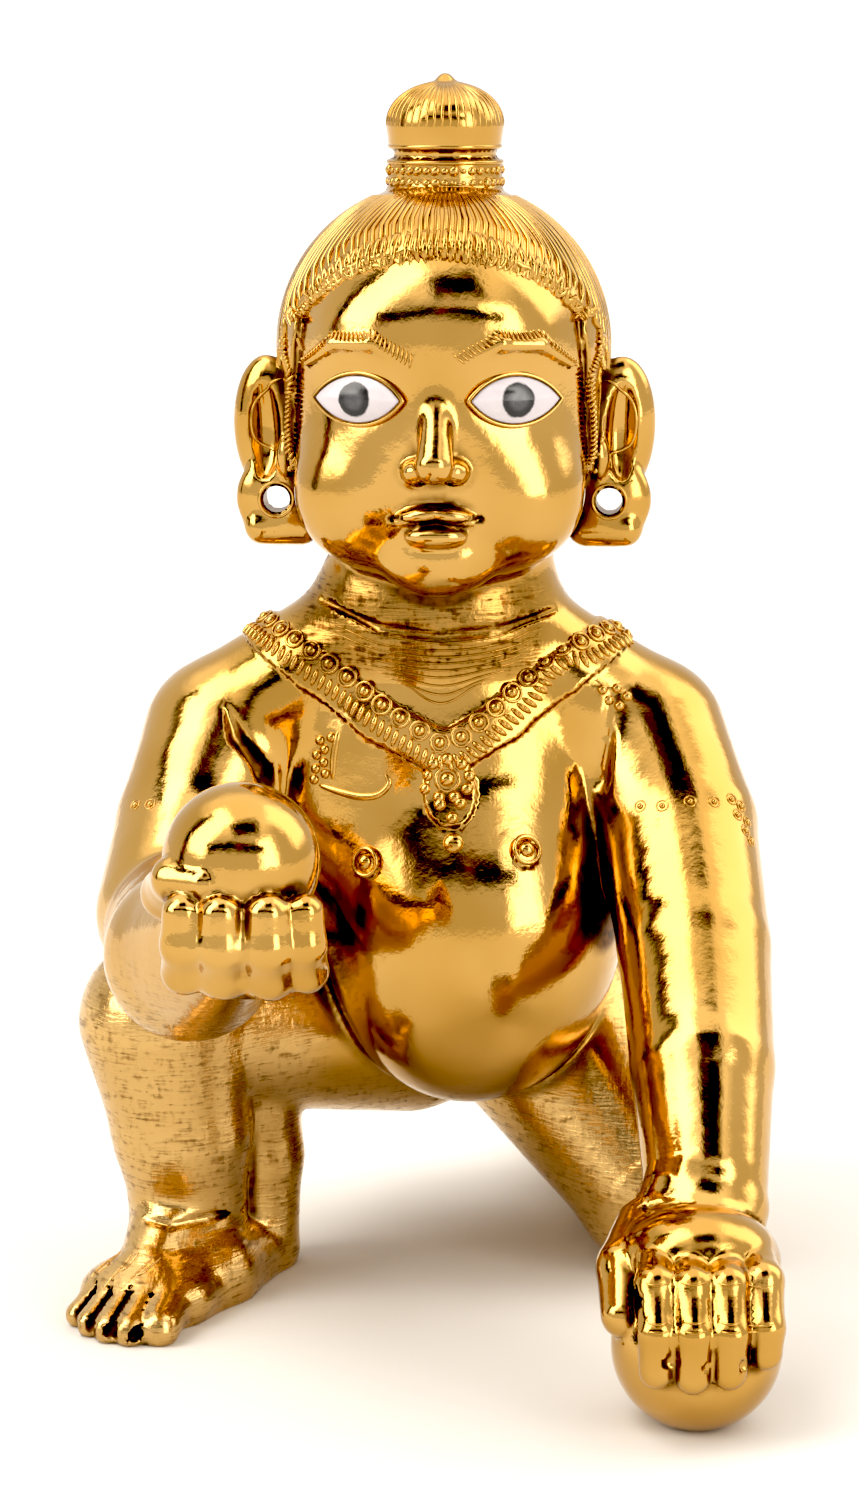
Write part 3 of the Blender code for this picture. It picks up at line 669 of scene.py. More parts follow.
def brass_finish(tarnish=0.0):
    """Polished brass, darkened in hollows and creases with painted shade over the tarnish a polishing wheel
    leaves there, darker on the neck with painted shade under the chin, with file marks low down and behind.
    """
    material, at = shader("brass")
    tree = at.tree
    x, y, z = at.parts()
    spots = noise(at, 900.0, 4.0)
    filed = ramp(z, 0.046, 0.034) * (1.0 - ramp(y, -0.002, -0.008) * ramp(x, 0.006, 0.012))
    belly = ramp(number("ABSOLUTE", x - 0.005), 0.018, 0.013) * ramp(z, 0.018, 0.024)
    filed = number("MAXIMUM", filed * (1.0 - belly), ramp(y, 0.008, 0.02))
    neck = ramp(z, 0.0635, 0.067) * ramp(z, 0.0765, 0.073) * ramp(number("ABSOLUTE", x), 0.014, 0.011)
    strokes = noise(at * (420.0, 420.0, 3600.0), 1.0, 3.0) * 0.7
    strokes = strokes + noise(at * (1800.0, 700.0, 900.0), 1.0, 2.0) * 0.5
    scored = ramp(strokes, 0.58, 0.84) * (filed * 0.7 + neck)
    # How hollow a place is darkens the colour towards near-black brown: painted shade in hollows and creases,
    # with their tarnish.
    hollow = ramp(attribute(tree, "hollow") + spots * 0.25, 0.38, 0.95)
    # The dark file marks, the painted shade in hollows, more painted shade on the neck under the chin, and
    # any tarnish.
    painted_shade_marks_and_tarnish = number("MAXIMUM", hollow, scored) + neck * 0.4 + tarnish
    clean = blend(ramp(noise(at, 60.0), 0.35, 0.7), (0.50, 0.285, 0.078), (0.59, 0.36, 0.12))
    clean = blend(filed * 0.4, clean, (0.74, 0.52, 0.25))
    brown = blend(ramp(spots, 0.35, 0.65), (0.035, 0.012, 0.004), (0.16, 0.06, 0.014))
    colour = blend(number("MINIMUM", painted_shade_marks_and_tarnish, 0.92), clean, brown)
    rough = ramp(noise(at, 140.0, 3.0), 0.3, 0.8, 0.07, 0.16) + painted_shade_marks_and_tarnish * 0.25 + filed * 0.09
    relief = noise(at, 3500.0) * 0.12 + noise(at, 450.0) * 0.7 + strokes * (filed * 1.2 + neck + 0.05)
    bump = at.node("ShaderNodeBump", {"Strength": 0.2, "Distance": 0.0004, "Height": relief})
    surface = at.node("ShaderNodeBsdfPrincipled", {"Base Color": colour, "Metallic": 1.0, "Roughness": rough,
                                                   "Normal": bump})
    give(surface, "ShaderNodeOutputMaterial")
    return material


brass = brass_finish()
old_brass = brass_finish(0.9)
cells = {"Cells " + axis: round((high - low) / GRAIN)
         for axis, low, high in zip("XYZ", SPACE_LOW, SPACE_HIGH)}
casting = grow(raw_casting(), "casting", {"Part": PART, "Finish": brass, **cells})
settle(casting, brass)
chased = fine_casting()
add_modifier(casting, chased, {"Part": PART, "Reach": HOLLOW_REACH, "Finish": brass})
casting.data.calc_loop_triangles()
thin_out = casting.modifiers.new("facets", "DECIMATE")
thin_out.ratio = min(1.0, MOST_TRIANGLES / len(casting.data.loop_triangles))
add_modifier(casting, chased, {"Part": PART, "Reach": HOLLOW_REACH, "Finish": brass})
settle(casting, brass)
drop_bubbles(casting.data)
casting.data.shade_smooth()
slopes = [tuple(item.vector) for item in casting.data.attributes["slope"].data]
casting.data.normals_split_custom_set_from_vertices(slopes)
casting.data.attributes.remove(casting.data.attributes["slope"])
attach(casting, "root")
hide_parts("figure")


# The eyes are two almonds of white enamel, let into the face. Each has a dark pupil in a grey iris, painted
# on and glazed over.
IRIS = 1.72
LID = 0.23


def seated(centre, turn):
    """The matrix that takes something from the origin to its place and turns it by degrees."""
    return Matrix.Translation(centre) @ Euler(radians(turn)).to_matrix().to_4x4()


def on_head(local, turn=(0.0, 0.0, 0.0)):
    """The matrix that puts something from its place on the head into the frame of the CAD."""
    return in_metres() @ seated(HEAD_PLACE, HEAD_TURN) @ seated(local, turn)


def in_metres():
    """The matrix from parts to the frame of the CAD."""
    return Matrix.Scale(PART, 4) @ Matrix.Translation((-MIDDLE[0], -MIDDLE[1], 0.0))


def almond(width, opening, steps):
    """The outline of an eye, from two arcs that meet at its corners, as X and Z."""
    rise = opening / 2
    radius = (width * width / 4 + rise * rise) / (2 * rise)
    half_angle = math.asin(width / 2 / radius)
    angles = [half_angle * (1 - 2 * step / steps) for step in range(steps)]
    upper = [(radius * math.sin(angle), radius * math.cos(angle) - radius + rise) for angle in angles]
    return upper + [(-x, -z) for x, z in upper]


def make_eye(name, way, finish):
    shell = bmesh.new()
    seen = shell.loops.layers.uv.new("front")
    outline = almond(EYE_WIDTH, EYE_OPENING, 32)
    shares = [1.0, 1.0, 0.985, 0.95] + [0.9 - 0.08 * count for count in range(11)]
    depths = [EYE_THICKNESS / 2, -EYE_THICKNESS / 2 + 0.12, -EYE_THICKNESS / 2]
    depths += [-EYE_THICKNESS / 2 - EYE_BULGE * (1 - share ** 2) for share in shares[3:]]
    rings = [[shell.verts.new((share * x, depth, share * z)) for x, z in outline]
             for share, depth in zip(shares, depths)]
    back = shell.faces.new(rings[0])
    back.smooth = False
    for inner, outer in zip(rings, rings[1:]):
        for count in range(len(outline)):
            after = (count + 1) % len(outline)
            shell.faces.new((inner[count], outer[count], outer[after], inner[after])).smooth = True
    tip = shell.verts.new((0, -EYE_THICKNESS / 2 - EYE_BULGE, 0))
    for count in range(len(outline)):
        shell.faces.new((rings[-1][count], tip, rings[-1][(count + 1) % len(outline)])).smooth = True
    bmesh.ops.recalc_face_normals(shell, faces=shell.faces)
    for face in shell.faces:
        for loop in face.loops:
            loop[seen].uv = (loop.vert.co.x * way, loop.vert.co.z)
    mesh = bpy.data.meshes.new(name)
    shell.to_mesh(mesh)
    shell.free()
    mesh.transform(on_head((way * EYE_PLACE[0], *EYE_PLACE[1:]), (EYE_TURN[0], 0.0, way * EYE_TURN[2])))
    eye = bpy.data.objects.new(name, mesh)
    bpy.context.scene.collection.objects.link(eye)
    mesh.materials.append(finish)
    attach(eye, "root")
    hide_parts(name.replace("inlaid_", ""))


def enamel_finish():
    material, at = shader("enamel")
    tree = at.tree
    x, y, z = add_node(tree, "ShaderNodeUVMap", uv_map="front").parts()
    wobble = (noise(at, 1500.0) - 0.5) * 0.25
    reach = number("SQRT", x * x + y * y) + wobble
    white = blend(noise(at, 500.0, 3.0), (0.66, 0.61, 0.64), (0.56, 0.51, 0.55))
    grey = blend(noise(at, 2500.0, 3.0), (0.035, 0.035, 0.038), (0.11, 0.11, 0.12))
    pupil = blend(ramp(reach, IRIS * 0.35, IRIS * 0.8), grey, (0.010, 0.010, 0.012))
    colour = blend(ramp(reach, IRIS - 0.12, IRIS + 0.12, 1.0, 0.0), white, pupil)
    rough = ramp(noise(at, 900.0, 3.0), 0.3, 0.8, 0.14, 0.3)
    bump = at.node("ShaderNodeBump", {"Strength": 0.1, "Distance": 0.0002, "Height": noise(at, 1200.0, 3.0)})
    surface = at.node("ShaderNodeBsdfPrincipled", {"Base Color": colour, "Roughness": rough, "Normal": bump,
                                                   "Coat Weight": 0.4, "Coat Roughness": 0.08})
    give(surface, "ShaderNodeOutputMaterial")
    return material


enamel = enamel_finish()
make_eye("inlaid_eye_left", 1, enamel)
make_eye("inlaid_eye_right", -1, enamel)


# The hair is combed down from the knot in fine locks that were cut into the casting with a chisel. A rope
# of short slanting strokes runs along the hairline.
LOCKS = 118
LOCK_POINTS = 26
HAIR_MIDDLE = (0.0, 2.5, 20.0)
CROWN_REACH = 17.0
LOCKS_START = 0.36
HEM = 0.03


def hair_surface(at):
    """The head without its ears, knot and face."""
    side = mirrored(at)
    bare = skull(at)
    return melt(bare, hair(at, side, bare), 0.4)


HAIR = shape_group("hair surface", hair_surface)


def lay_on(thing, group, lift=0.0, rounds=3):
    """Moves every point the shortest way to the surface of a form, or to a height above it."""
    for count in range(rounds):
        at = add_node(thing.tree, "GeometryNodeInputPosition")
        slope = slope_of(group, at)
        step = (distance_to(group, at) - lift) / vector("DOT_PRODUCT", slope, slope) * -1.0
        thing = thing.node("GeometryNodeSetPosition", {"Geometry": thing, "Offset": slope * step})
    return thing


def into_place(thing, matrix):
    """Moves a finished mesh from parts into the frame of the CAD."""
    thing.data.transform(matrix)
    thing.data.update()
    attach(thing, "root")
    return thing


def path_mesh(name, paths):
    """Edges along one or more lines of points."""
    mesh = bpy.data.meshes.new(name)
    points = [point for path in paths for point in path]
    edges, first = [], 0
    for path in paths:
        edges += [(first + count, first + count + 1) for count in range(len(path) - 1)]
        first += len(path)
    mesh.from_pydata(points, edges, [])
    return mesh


def hairline(turn):
    """How far down from the crown, in radians, the hair reaches in a direction from the front."""
    return number("ARCTAN2", 1.0, number("COSINE", turn) * HAIRLINE_SLOPE) + HEM


def combed_hair():
    tree, given = new_tree("combed hair", {"Locks": "Int", "Points": "Int", "Fullness": "Float",
                                           "Seed": "Int", "Finish": "Material"})
    roots = add_node(tree, "GeometryNodeMeshLine", {"Count": given["Locks"], "Offset": (0, 0, 0)})
    index = add_node(tree, "GeometryNodeInputIndex")
    turn = (index / given["Locks"] - 0.5) * (2 * math.pi)
    for name, value in (("turn", turn), ("number", index)):
        roots = roots.node("GeometryNodeStoreNamedAttribute", {"Geometry": roots, "Name": name,
                                                               "Value": value}, data_type="FLOAT")
    line = add_node(tree, "GeometryNodeCurvePrimitiveLine", {"Start": (0, 0, 0), "End": (0, 0, 1)})
    line = line.node("GeometryNodeResampleCurve", {"Curve": line, "Count": given["Points"]})
    locks = roots.node("GeometryNodeInstanceOnPoints", {"Points": roots, "Instance": line})
    locks = locks.node("GeometryNodeRealizeInstances", [locks])
    turn = add_node(tree, "GeometryNodeInputNamedAttribute", {"Name": "turn"}, data_type="FLOAT")
    order = add_node(tree, "GeometryNodeInputNamedAttribute", {"Name": "number"}, data_type="FLOAT")
    x, y, share = add_node(tree, "GeometryNodeInputPosition").parts()
    stray = add_node(tree, "FunctionNodeRandomValue", {"ID": order, "Seed": given["Seed"]}, data_type="FLOAT")
    wave = number("SINE", share * 9.0 + stray * 40.0) * 0.006
    turn = turn + wave + (stray - 0.5) * 0.012
    reach = hairline(turn) - LOCKS_START + (stray - 0.5) * 0.02
    down = share * reach + LOCKS_START
    across = number("SINE", down)
    spot = place(across * number("SINE", turn), across * number("COSINE", turn) * -1.0,
                 number("COSINE", down))
    spot = spot * CROWN_REACH + HAIR_MIDDLE
    locks = locks.node("GeometryNodeSetPosition", {"Geometry": locks, "Position": spot})
    locks = lay_on(locks, HAIR, 0.02)
    x, y, z = add_node(tree, "GeometryNodeInputPosition").parts()
    y = y - HAIR_MIDDLE[1]
    width = number("SQRT", x * x + y * y) / given["Locks"] * given["Fullness"]
    width = width * (0.85 + stray * 0.3)
    profile = add_node(tree, "GeometryNodeCurvePrimitiveCircle", {"Resolution": 6, "Radius": 1.0})
    mesh = locks.node("GeometryNodeCurveToMesh", {"Curve": locks, "Profile Curve": profile, "Scale": width,
                                                  "Fill Caps": True})
    close_tree(mesh, given["Finish"])
    return tree


HAIR_PLACE = on_head((0, 0, 0))
combed = grow(combed_hair(), "combed_hair", {"Locks": LOCKS, "Points": LOCK_POINTS, "Fullness": 2.7,
                                             "Seed": 4, "Finish": brass})
settle(combed, brass).data.shade_smooth()
into_place(combed, HAIR_PLACE)


def row_of(name, shape, group):
    """A tree that sets copies of a small shape side by side along a line on a form. The first inputs
    say how far apart they are, how far to the side of the line and how high, and how they are turned."""
    tree, given = new_tree(name, {"Path": "Geometry", "Spacing": "Float", "Aside": "Float", "Lift": "Float",
                                  "Turn": "Float", "Variation": "Float", "Seed": "Int", "Finish": "Material"})
    line = given["Path"].node("GeometryNodeMeshToCurve", [given["Path"]])
    line = line.node("GeometryNodeCurveSplineType", [line], spline_type="CATMULL_ROM")
    line = line.node("GeometryNodeResampleCurve", {"Curve": line, "Length": 0.3}, mode="LENGTH")
    line = lay_on(line, group)
    at = add_node(tree, "GeometryNodeInputPosition")
    tangent = add_node(tree, "GeometryNodeInputTangent")
    aside = vector("NORMALIZE", vector("CROSS_PRODUCT", slope_of(group, at), tangent))
    line = line.node("GeometryNodeSetPosition", {"Geometry": line, "Offset": aside * given["Aside"]})
    line = lay_on(line, group, rounds=2)
    line = line.node("GeometryNodeResampleCurve", {"Curve": line, "Length": given["Spacing"]}, mode="LENGTH")
    line = lay_on(line, group, given["Lift"], 2)
    rotation = add_node(tree, "FunctionNodeAxesToRotation", [slope_of(group, at), tangent],
                        primary_axis="Z", secondary_axis="X")
    jitter = add_node(tree, "FunctionNodeRandomValue", {"Min": -1.0, "Max": 1.0, "Seed": given["Seed"]},
                      data_type="FLOAT")
    spin = place(0.0, 0.0, given["Turn"] + jitter * given["Variation"])
    spin = spin.node("FunctionNodeEulerToRotation", [spin])
    rotation = add_node(tree, "FunctionNodeRotateRotation", [rotation, spin], rotation_space="LOCAL")
    size = 1.0 + jitter * given["Variation"] * 0.5
    row = line.node("GeometryNodeInstanceOnPoints", {"Points": line, "Instance": shape(tree),
                                                     "Rotation": rotation, "Scale": place(size, size, size)})
    close_tree(row, given["Finish"])
    return tree


def dome(tree, size, segments=10, rings=6):
    """An oval, half of which shows above the surface."""
    oval = add_node(tree, "GeometryNodeMeshUVSphere", {"Segments": segments, "Rings": rings, "Radius": 1.0})
    return oval.node("GeometryNodeTransform", {"Geometry": oval, "Scale": size})


def hoop(tree, radius, thickness, steps=14):
    """A thin ring that lies on the surface."""
    circle = add_node(tree, "GeometryNodeCurvePrimitiveCircle", {"Resolution": steps, "Radius": radius})
    wire = add_node(tree, "GeometryNodeCurvePrimitiveCircle", {"Resolution": 6, "Radius": thickness})
    return circle.node("GeometryNodeCurveToMesh", {"Curve": circle, "Profile Curve": wire})


def together(*shapes):
    """Several shapes as one."""
    node = shapes[0].tree.nodes.new("GeometryNodeJoinGeometry")
    for shape in shapes:
        node.id_data.links.new(shape.socket, node.inputs[0])
    return Value(node.outputs[0])


def set_row(name, tree, paths, matrix=in_metres(), finish=brass, **inputs):
    """What a tree makes along its paths, as a finished piece, of brass where nothing else is said."""
    row = grow(tree, name, {"Finish": finish, "Variation": 0.08, "Seed": 2, **inputs})
    row.data = path_mesh(name, paths)
    settle(row, finish).data.shade_smooth()
    return into_place(row, matrix)


def line_on(name, group=None):
    """A tree that lays round ridges along lines, on a form or as they are. They thin out by the taper."""
    tree, given = new_tree(name, {"Path": "Geometry", "Radius": "Float", "Lift": "Float", "Taper": "Float",
                                  "Finish": "Material"})
    line = given["Path"].node("GeometryNodeMeshToCurve", [given["Path"]])
    line = line.node("GeometryNodeCurveSplineType", [line], spline_type="CATMULL_ROM")
    line = line.node("GeometryNodeResampleCurve", {"Curve": line, "Length": 0.35}, mode="LENGTH")
    if group:
        line = lay_on(line, group, given["Lift"])
    share = add_node(tree, "GeometryNodeSplineParameter")
    middle = number("POWER", share * (1.0 - share) * 4.0, 0.4)
    radius = given["Radius"] * (middle * given["Taper"] + (1.0 - given["Taper"]))
    profile = add_node(tree, "GeometryNodeCurvePrimitiveCircle", {"Resolution": 7, "Radius": 1.0})
    mesh = line.node("GeometryNodeCurveToMesh", {"Curve": line, "Profile Curve": profile, "Scale": radius,
                                                 "Fill Caps": True})
    close_tree(mesh, given["Finish"])
    return tree


def from_head(points):
    """Points on the head, in the frame of the casting, still in parts."""
    matrix = in_metres().inverted() @ on_head((0, 0, 0))
    return [tuple(matrix @ Vector(point)) for point in points]


def both_sides(points):
    """A line on the left of the head, and its mirror image on the right."""
    return [points, [(-x, y, z) for x, y, z in points]]


def hairline_points():
    """From the middle of the forehead to the temple, and down in front of the ear."""
    points = []
    for degrees in range(0, 73, 12):
        turn = math.radians(degrees)
        down = math.atan2(1.0, math.cos(turn) * HAIRLINE_SLOPE) + HEM
        across = CROWN_REACH * math.sin(down)
        points.append((across * math.sin(turn), HAIR_MIDDLE[1] - across * math.cos(turn),
                       HAIR_MIDDLE[2] + CROWN_REACH * math.cos(down)))
    return points + [(15.6, -6.6, 21.0), (15.6, -6.2, 15.0), (15.0, -6.0, 11.5)]


stroke = row_of("hairline strokes", lambda tree: dome(tree, (0.2, 0.62, 0.3), 8, 5), HAIR)
set_row("hairline_rope", stroke, both_sides(hairline_points()), HAIR_PLACE, Spacing=0.5, Lift=0.1, Turn=0.45)


# The lids and brows are chased round the eyes: a smooth edge that holds the enamel, a thin line of dark
# cement inside it, and brows of short strokes.
ridge = line_on("ridge")
seat = seated(EYE_PLACE, EYE_TURN)


def eye_edge(grown, depth):
    """The outline of both eyes, a little larger than the enamel, at a depth behind its front edge."""
    outline = almond(EYE_WIDTH + 2 * grown, EYE_OPENING + 2 * grown, 24)
    points = [tuple(seat @ Vector((x, depth - EYE_THICKNESS / 2, z))) for x, z in outline]
    return [from_head(edge) for edge in both_sides(points + points[:1])]


set_row("eye_lids", ridge, eye_edge(LID * 0.9, 0.1), Radius=LID)
set_row("eye_cement", ridge, eye_edge(0.04, -0.06), Radius=0.1, finish=old_brass)
brow = [(2.4, -15.0, 23.6), (5.0, -14.8, 25.0), (8.0, -13.6, 25.4), (11.0, -11.6, 24.8), (13.4, -8.8, 22.8)]
hatch = row_of("brow strokes", lambda tree: dome(tree, (0.15, 0.75, 0.25), 8, 5), FORM)
set_row("brow_strokes", hatch, [from_head(arch) for arch in both_sides(brow)], Spacing=0.48,
        Aside=0.1, Lift=0.05, Turn=0.35)


# The knot of hair has a bud with fine flutes, and a band that was roughened with a punch. Both are cast
# with the head.
FLUTES = 46
KNOT = shape_group("knot surface", knot)
flute_lines = []
for count in range(FLUTES):
    turn = 2 * math.pi * count / FLUTES
    flute_lines.append([(reach * math.sin(turn), KNOT_MIDDLE + reach * math.cos(turn), level)
                        for reach, level in ((1.3, 50.4), (3.4, 49.0), (5.2, 47.4), (6.0, 45.6))])
flute = line_on("flutes", KNOT)
set_row("bud_flutes", flute, flute_lines, HAIR_PLACE, Radius=0.22, Lift=-0.1, Taper=0.7)


def knot_ring(radius, level, points):
    """A level ring round the knot, from points 0.2 radians apart."""
    return [(radius * math.sin(0.2 * step), KNOT_MIDDLE + radius * math.cos(0.2 * step), level)
            for step in range(points)]


punched = row_of("band punches", lambda tree: dome(tree, (0.5, 0.42, 0.3), 8, 5), KNOT)
set_row("band_relief", punched, [knot_ring(5.9, level, 32) for level in (41.4, 40.2)], HAIR_PLACE,
        Spacing=0.95, Lift=-0.02, Turn=0.4, Variation=0.6)
set_row("band_edges", flute, [knot_ring(6.0, level, 33) for level in (42.3, 39.3, 43.5)], HAIR_PLACE,
        Radius=0.26, Lift=-0.08)


# The ears have a second ridge inside the rim, a raised edge round the hole, and small beads in front of
# the hollow. They are chased into the casting.
HOLE_EDGE = 1.75
ear_ridge = [(16.6, -1.0, 20.6), (18.2, -0.6, 19.4), (18.9, -0.4, 16.0), (18.0, -0.6, 12.8),
             (16.4, -0.8, 11.6)]
ear_ring = [(EAR_HOLE_PLACE[0] + HOLE_EDGE * math.sin(0.3 * step), -1.6,
             EAR_HOLE_PLACE[2] + HOLE_EDGE * math.cos(0.3 * step)) for step in range(22)]
low_ridge = line_on("low ridge", FORM)
set_row("ear_ridges", low_ridge, [from_head(line) for line in both_sides(ear_ridge) + both_sides(ear_ring)],
        Radius=0.22, Taper=0.5)


def set_studs(name, shape, points):
    """One copy of a small shape on the casting at each of a few points, as a finished piece of brass."""
    tree, given = new_tree(name, {"Points": "Geometry", "Lift": "Float", "Finish": "Material"})
    spots = lay_on(given["Points"], FORM, given["Lift"])
    upright = add_node(tree, "FunctionNodeAlignRotationToVector", {
        "Vector": slope_of(FORM, add_node(tree, "GeometryNodeInputPosition"))}, axis="Z")
    close_tree(spots.node("GeometryNodeInstanceOnPoints", {"Points": spots, "Instance": shape(tree),
                                                           "Rotation": upright}), given["Finish"])
    studs = grow(tree, name, {"Finish": brass, "Lift": 0.0})
    studs.data.from_pydata(points, [], [])
    settle(studs, brass).data.shade_smooth()
    return into_place(studs, in_metres())


tragus = [(15.4, -2.2, 13.8), (15.3, -2.2, 12.6), (15.5, -2.1, 11.4), (16.2, -2.0, 14.6)]
set_studs("ear_beads", lambda tree: dome(tree, (0.42, 0.42, 0.36), 8, 5),
          [point for side in both_sides(tragus) for point in from_head(side)])


# The necklace is chased into the chest: domes, each in its ring, a fringe of petals below them, and a
# pendant flower of beads in the middle.
NECKLACE = [(-17.6, 1.0, 70.4), (-14.8, -4.0, 68.9), (-9.6, -7.2, 65.6), (-4.6, -9.6, 62.1),
            (0.2, -11.0, 59.1), (1.8, -11.2, 58.6), (3.4, -11.0, 59.4), (7.6, -9.0, 62.7),
            (12.0, -6.6, 66.2), (16.6, -3.6, 68.4), (19.8, 1.0, 69.2)]
PENDANT = (1.8, -11.7, 55.0)
ringed_bead = row_of("ringed beads", lambda tree: together(dome(tree, (0.6, 0.6, 0.5)),
                                                           hoop(tree, 0.95, 0.17)), FORM)
petal = row_of("petals", lambda tree: together(dome(tree, (0.34, 0.95, 0.36)),
                                               dome(tree, (0.26, 0.3, 0.45))), FORM)
set_row("necklace_beads", ringed_bead, [NECKLACE], Spacing=2.35, Lift=0.02)
set_row("necklace_petals", petal, [NECKLACE], Spacing=0.88, Aside=-2.0, Turn=0.25)
flower = [(PENDANT[0] + 2.25 * math.sin(0.7 * step), PENDANT[1], PENDANT[2] + 2.1 * math.cos(0.7 * step))
          for step in range(9)]
flower += [(1.1, -12.2, 52.4), (3.1, -12.4, 52.6), (2.3, -13.0, 51.2)]
set_studs("pendant_beads", lambda tree: dome(tree, (0.66, 0.66, 0.5)), flower)
set_studs("pendant_boss", lambda tree: together(dome(tree, (0.8, 0.8, 0.6)), hoop(tree, 1.2, 0.2)), [PENDANT])


# Other punched ornaments: ringed nipples, a bead between them, a tassel of beads with a hook, a small
# flower, and a row of dots round each upper arm.
set_studs("nipple_rings", lambda tree: together(dome(tree, (0.85, 0.85, 0.6)), hoop(tree, 1.4, 0.26, 20)),
          [(-6.5, -11.9, 46.5), (9.8, -13.8, 48.2)])
set_studs("single_bead", lambda tree: dome(tree, (1.05, 1.05, 0.6), 16, 9), [(2.4, -14.2, 49.0)])
tassel = [(-11.2, -7.5, 58.2), (-10.0, -8.0, 58.6), (-10.6, -7.7, 57.3), (-11.6, -7.6, 56.7),
          (-10.7, -7.9, 56.0), (-11.7, -7.7, 55.3), (-10.6, -8.2, 54.9), (-11.8, -7.7, 54.2)]
blossom = [(18.4, -6.1, 62.1), (17.7, -6.0, 63.2), (19.2, -5.6, 63.3), (20.2, -5.6, 62.4),
           (19.4, -6.0, 61.5)]
armlet = [(21.3, -11.5, 52.2), (23.5, -12.4, 52.4), (26.3, -12.3, 52.8), (28.8, -11.7, 52.7),
          (30.6, -10.2, 52.6), (31.6, -9.8, 51.8), (31.0, -10.8, 51.0), (32.1, -10.2, 50.2),
          (31.6, -11.2, 49.4), (32.4, -11.4, 48.5), (-29.8, -10.2, 52.0), (-28.2, -11.5, 52.3)]
set_studs("small_beads", lambda tree: dome(tree, (0.55, 0.55, 0.42)), tassel + blossom)
set_studs("armlet_dots", lambda tree: together(dome(tree, (0.34, 0.34, 0.3), 8, 5), hoop(tree, 0.6, 0.1)),
          armlet)
hook = [(-11.2, -8.0, 53.7), (-9.1, -9.2, 53.2), (-7.1, -10.2, 52.9), (-5.2, -10.7, 53.2),
        (-4.1, -10.9, 54.4), (-4.5, -10.7, 55.3)]
strap = [(-9.3, -8.3, 59.4), (-9.7, -8.4, 56.6), (-9.8, -8.6, 54.4)]
set_row("hook_ridge", low_ridge, [hook, strap], Radius=0.42, Lift=-0.1, Taper=0.6)


# Fine lines were scratched round the neck, along the toes, over the finger joints and on the lower sweet.
scratches = []
for count in range(9):
    level, front, reach = 68.6 - 0.72 * count, -9.6 - 0.25 * count, 11.0 - 0.9 * count
    scratches.append([(1.2 + reach * share, front + 5.0 * share * share, level + 1.6 * share * share)
                      for share in (-1.0, -0.5, 0.0, 0.5, 1.0)])
toes = [((-34.4, -17.2, 4.2), (-31.9, -14.4, 6.0)), ((-32.8, -20.0, 4.0), (-29.9, -16.8, 6.4)),
        ((-30.9, -21.0, 4.2), (-27.6, -17.6, 6.6))]
for start, end in toes:
    for shift in (-0.4, 0.4):
        scratches.append([(start[0] + shift, start[1], start[2]), (end[0] + shift, end[1], end[2])])
for count in range(4):
    x = FIRST_FINGER + FINGER_STEP * count
    for level, depth in ((13.2, -55.0), (12.5, -55.6), (16.0, -52.5)):
        scratches.append([(x - 1.1, depth, level), (x, depth - 0.3, level - 0.15), (x + 1.1, depth, level)])
set_row("scratched_lines", low_ridge, scratches, Radius=0.13, Taper=0.8)


# The floor is a plain sheet of pale paper, and runs on to where it meets the light of the room. The
# figure stands on it by its own weight.
FLOOR_REACH = 4.0
floor_mesh = bpy.data.meshes.new("floor")
floor_shape = bmesh.new()
bmesh.ops.create_circle(floor_shape, cap_ends=True, segments=64, radius=FLOOR_REACH)
floor_shape.to_mesh(floor_mesh)
floor_shape.free()
floor = bpy.data.objects.new("floor", floor_mesh)
bpy.context.scene.collection.objects.link(floor)
paper, at = shader("paper")
grey = blend(noise(at, 30.0, 4.0), (0.70, 0.69, 0.68), (0.74, 0.73, 0.72))
surface = at.node("ShaderNodeBsdfPrincipled", {"Base Color": grey, "Roughness": 0.9})
give(surface, "ShaderNodeOutputMaterial")
floor.data.materials.append(paper)


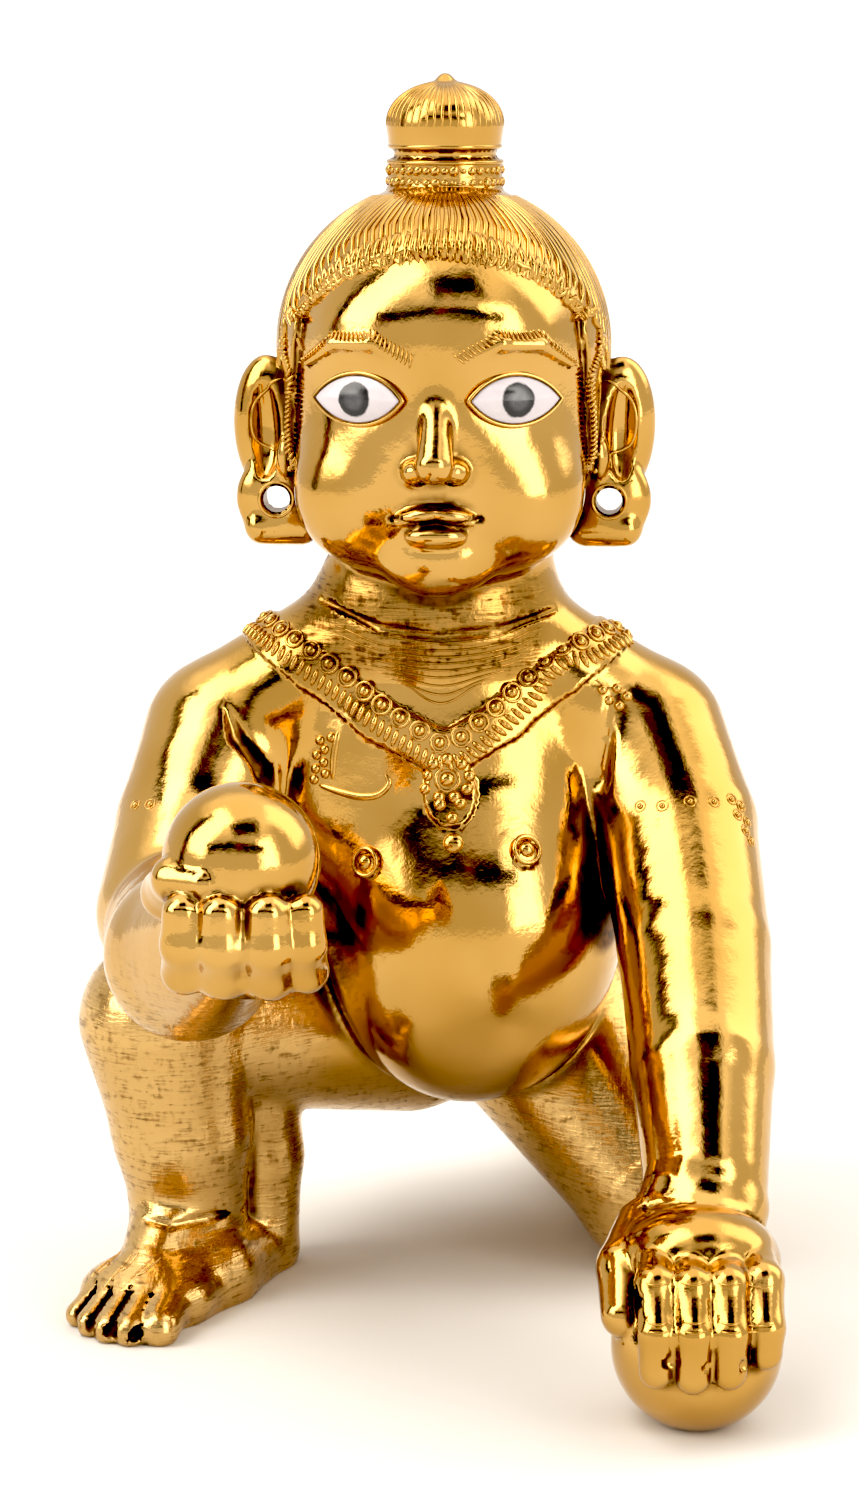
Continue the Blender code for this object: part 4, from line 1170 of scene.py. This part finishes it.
# The light is a pale room, brighter overhead, with three windows: in front on the right, high on the left,
# and behind on the right. The brass also mirrors ragged dark patches in front, overhead and on the left.
OVERHEAD = (0, 90, 0.8, 0.8, 0.3)
WINDOWS = (((46, 14, 0.22, 0.50, 0.1), (4.6, 4.4, 4.0)), ((-70, 45, 0.30, 0.60), (5.0, 4.8, 4.4)),
           ((110, 38, 0.30, 0.45), (2.6, 2.5, 2.3)))
PATCHES = ((-5, 33, 0.90, 0.12, 0.08), (18, 61, 0.30, 0.22, 0.1), (-94, 28, 0.10, 0.60, 0.06))
BLACK_LEVEL = 0.03
WHITE_LEVEL = 0.82


def window(sight, azimuth, height, width, tall, soft=0.12):
    """How far a direction lies inside a soft-edged opening. Its place is in degrees, its size in tangents."""
    turn, lift = math.radians(azimuth), math.radians(height)
    ahead = (math.sin(turn) * math.cos(lift), -math.cos(turn) * math.cos(lift), math.sin(lift))
    above = (-math.sin(turn) * math.sin(lift), math.cos(turn) * math.sin(lift), math.cos(lift))
    near = vector("DOT_PRODUCT", sight, ahead)
    beside = number("ABSOLUTE", vector("DOT_PRODUCT", sight, (math.cos(turn), math.sin(turn), 0.0)) / near)
    upright = number("ABSOLUTE", vector("DOT_PRODUCT", sight, above) / near)
    inside = ramp(beside, width - soft, width + soft, 1.0, 0.0)
    inside = inside * ramp(upright, tall - soft, tall + soft, 1.0, 0.0)
    return inside * ramp(near, 0.0, 0.1)


world = bpy.data.worlds.new("room")
bpy.context.scene.world = world
world.use_nodes = True
world.node_tree.nodes.clear()
sight = add_node(world.node_tree, "ShaderNodeTexCoord", out="Generated")
ragged = sight + (noise(sight, 5.0, 2.0) - 0.5) * 0.12
mottled = ramp(noise(sight, 4.0, 4.0), 0.48, 0.68)
gloom = blend(mottled, (0.006, 0.004, 0.003), (0.30, 0.09, 0.02))
light = blend(window(sight, *OVERHEAD), (0.84, 0.81, 0.77), (1.6, 1.52, 1.4))
for opening, daylight in WINDOWS:
    light = blend(window(sight, *opening), light, daylight)
for patch in PATCHES:
    light = blend(window(ragged, *patch), light, gloom)
seen = add_node(world.node_tree, "ShaderNodeLightPath", out="Is Camera Ray")
light = blend(seen, light, (1.0, 1.0, 1.0))
glow = add_node(world.node_tree, "ShaderNodeBackground", {"Color": light, "Strength": 1.0})
give(glow, "ShaderNodeOutputWorld")

view = bpy.context.scene.view_settings
view.view_transform = "Standard"
view.use_curve_mapping = True
view.curve_mapping.black_level = (BLACK_LEVEL,) * 3
view.curve_mapping.white_level = (WHITE_LEVEL,) * 3
view.curve_mapping.update()
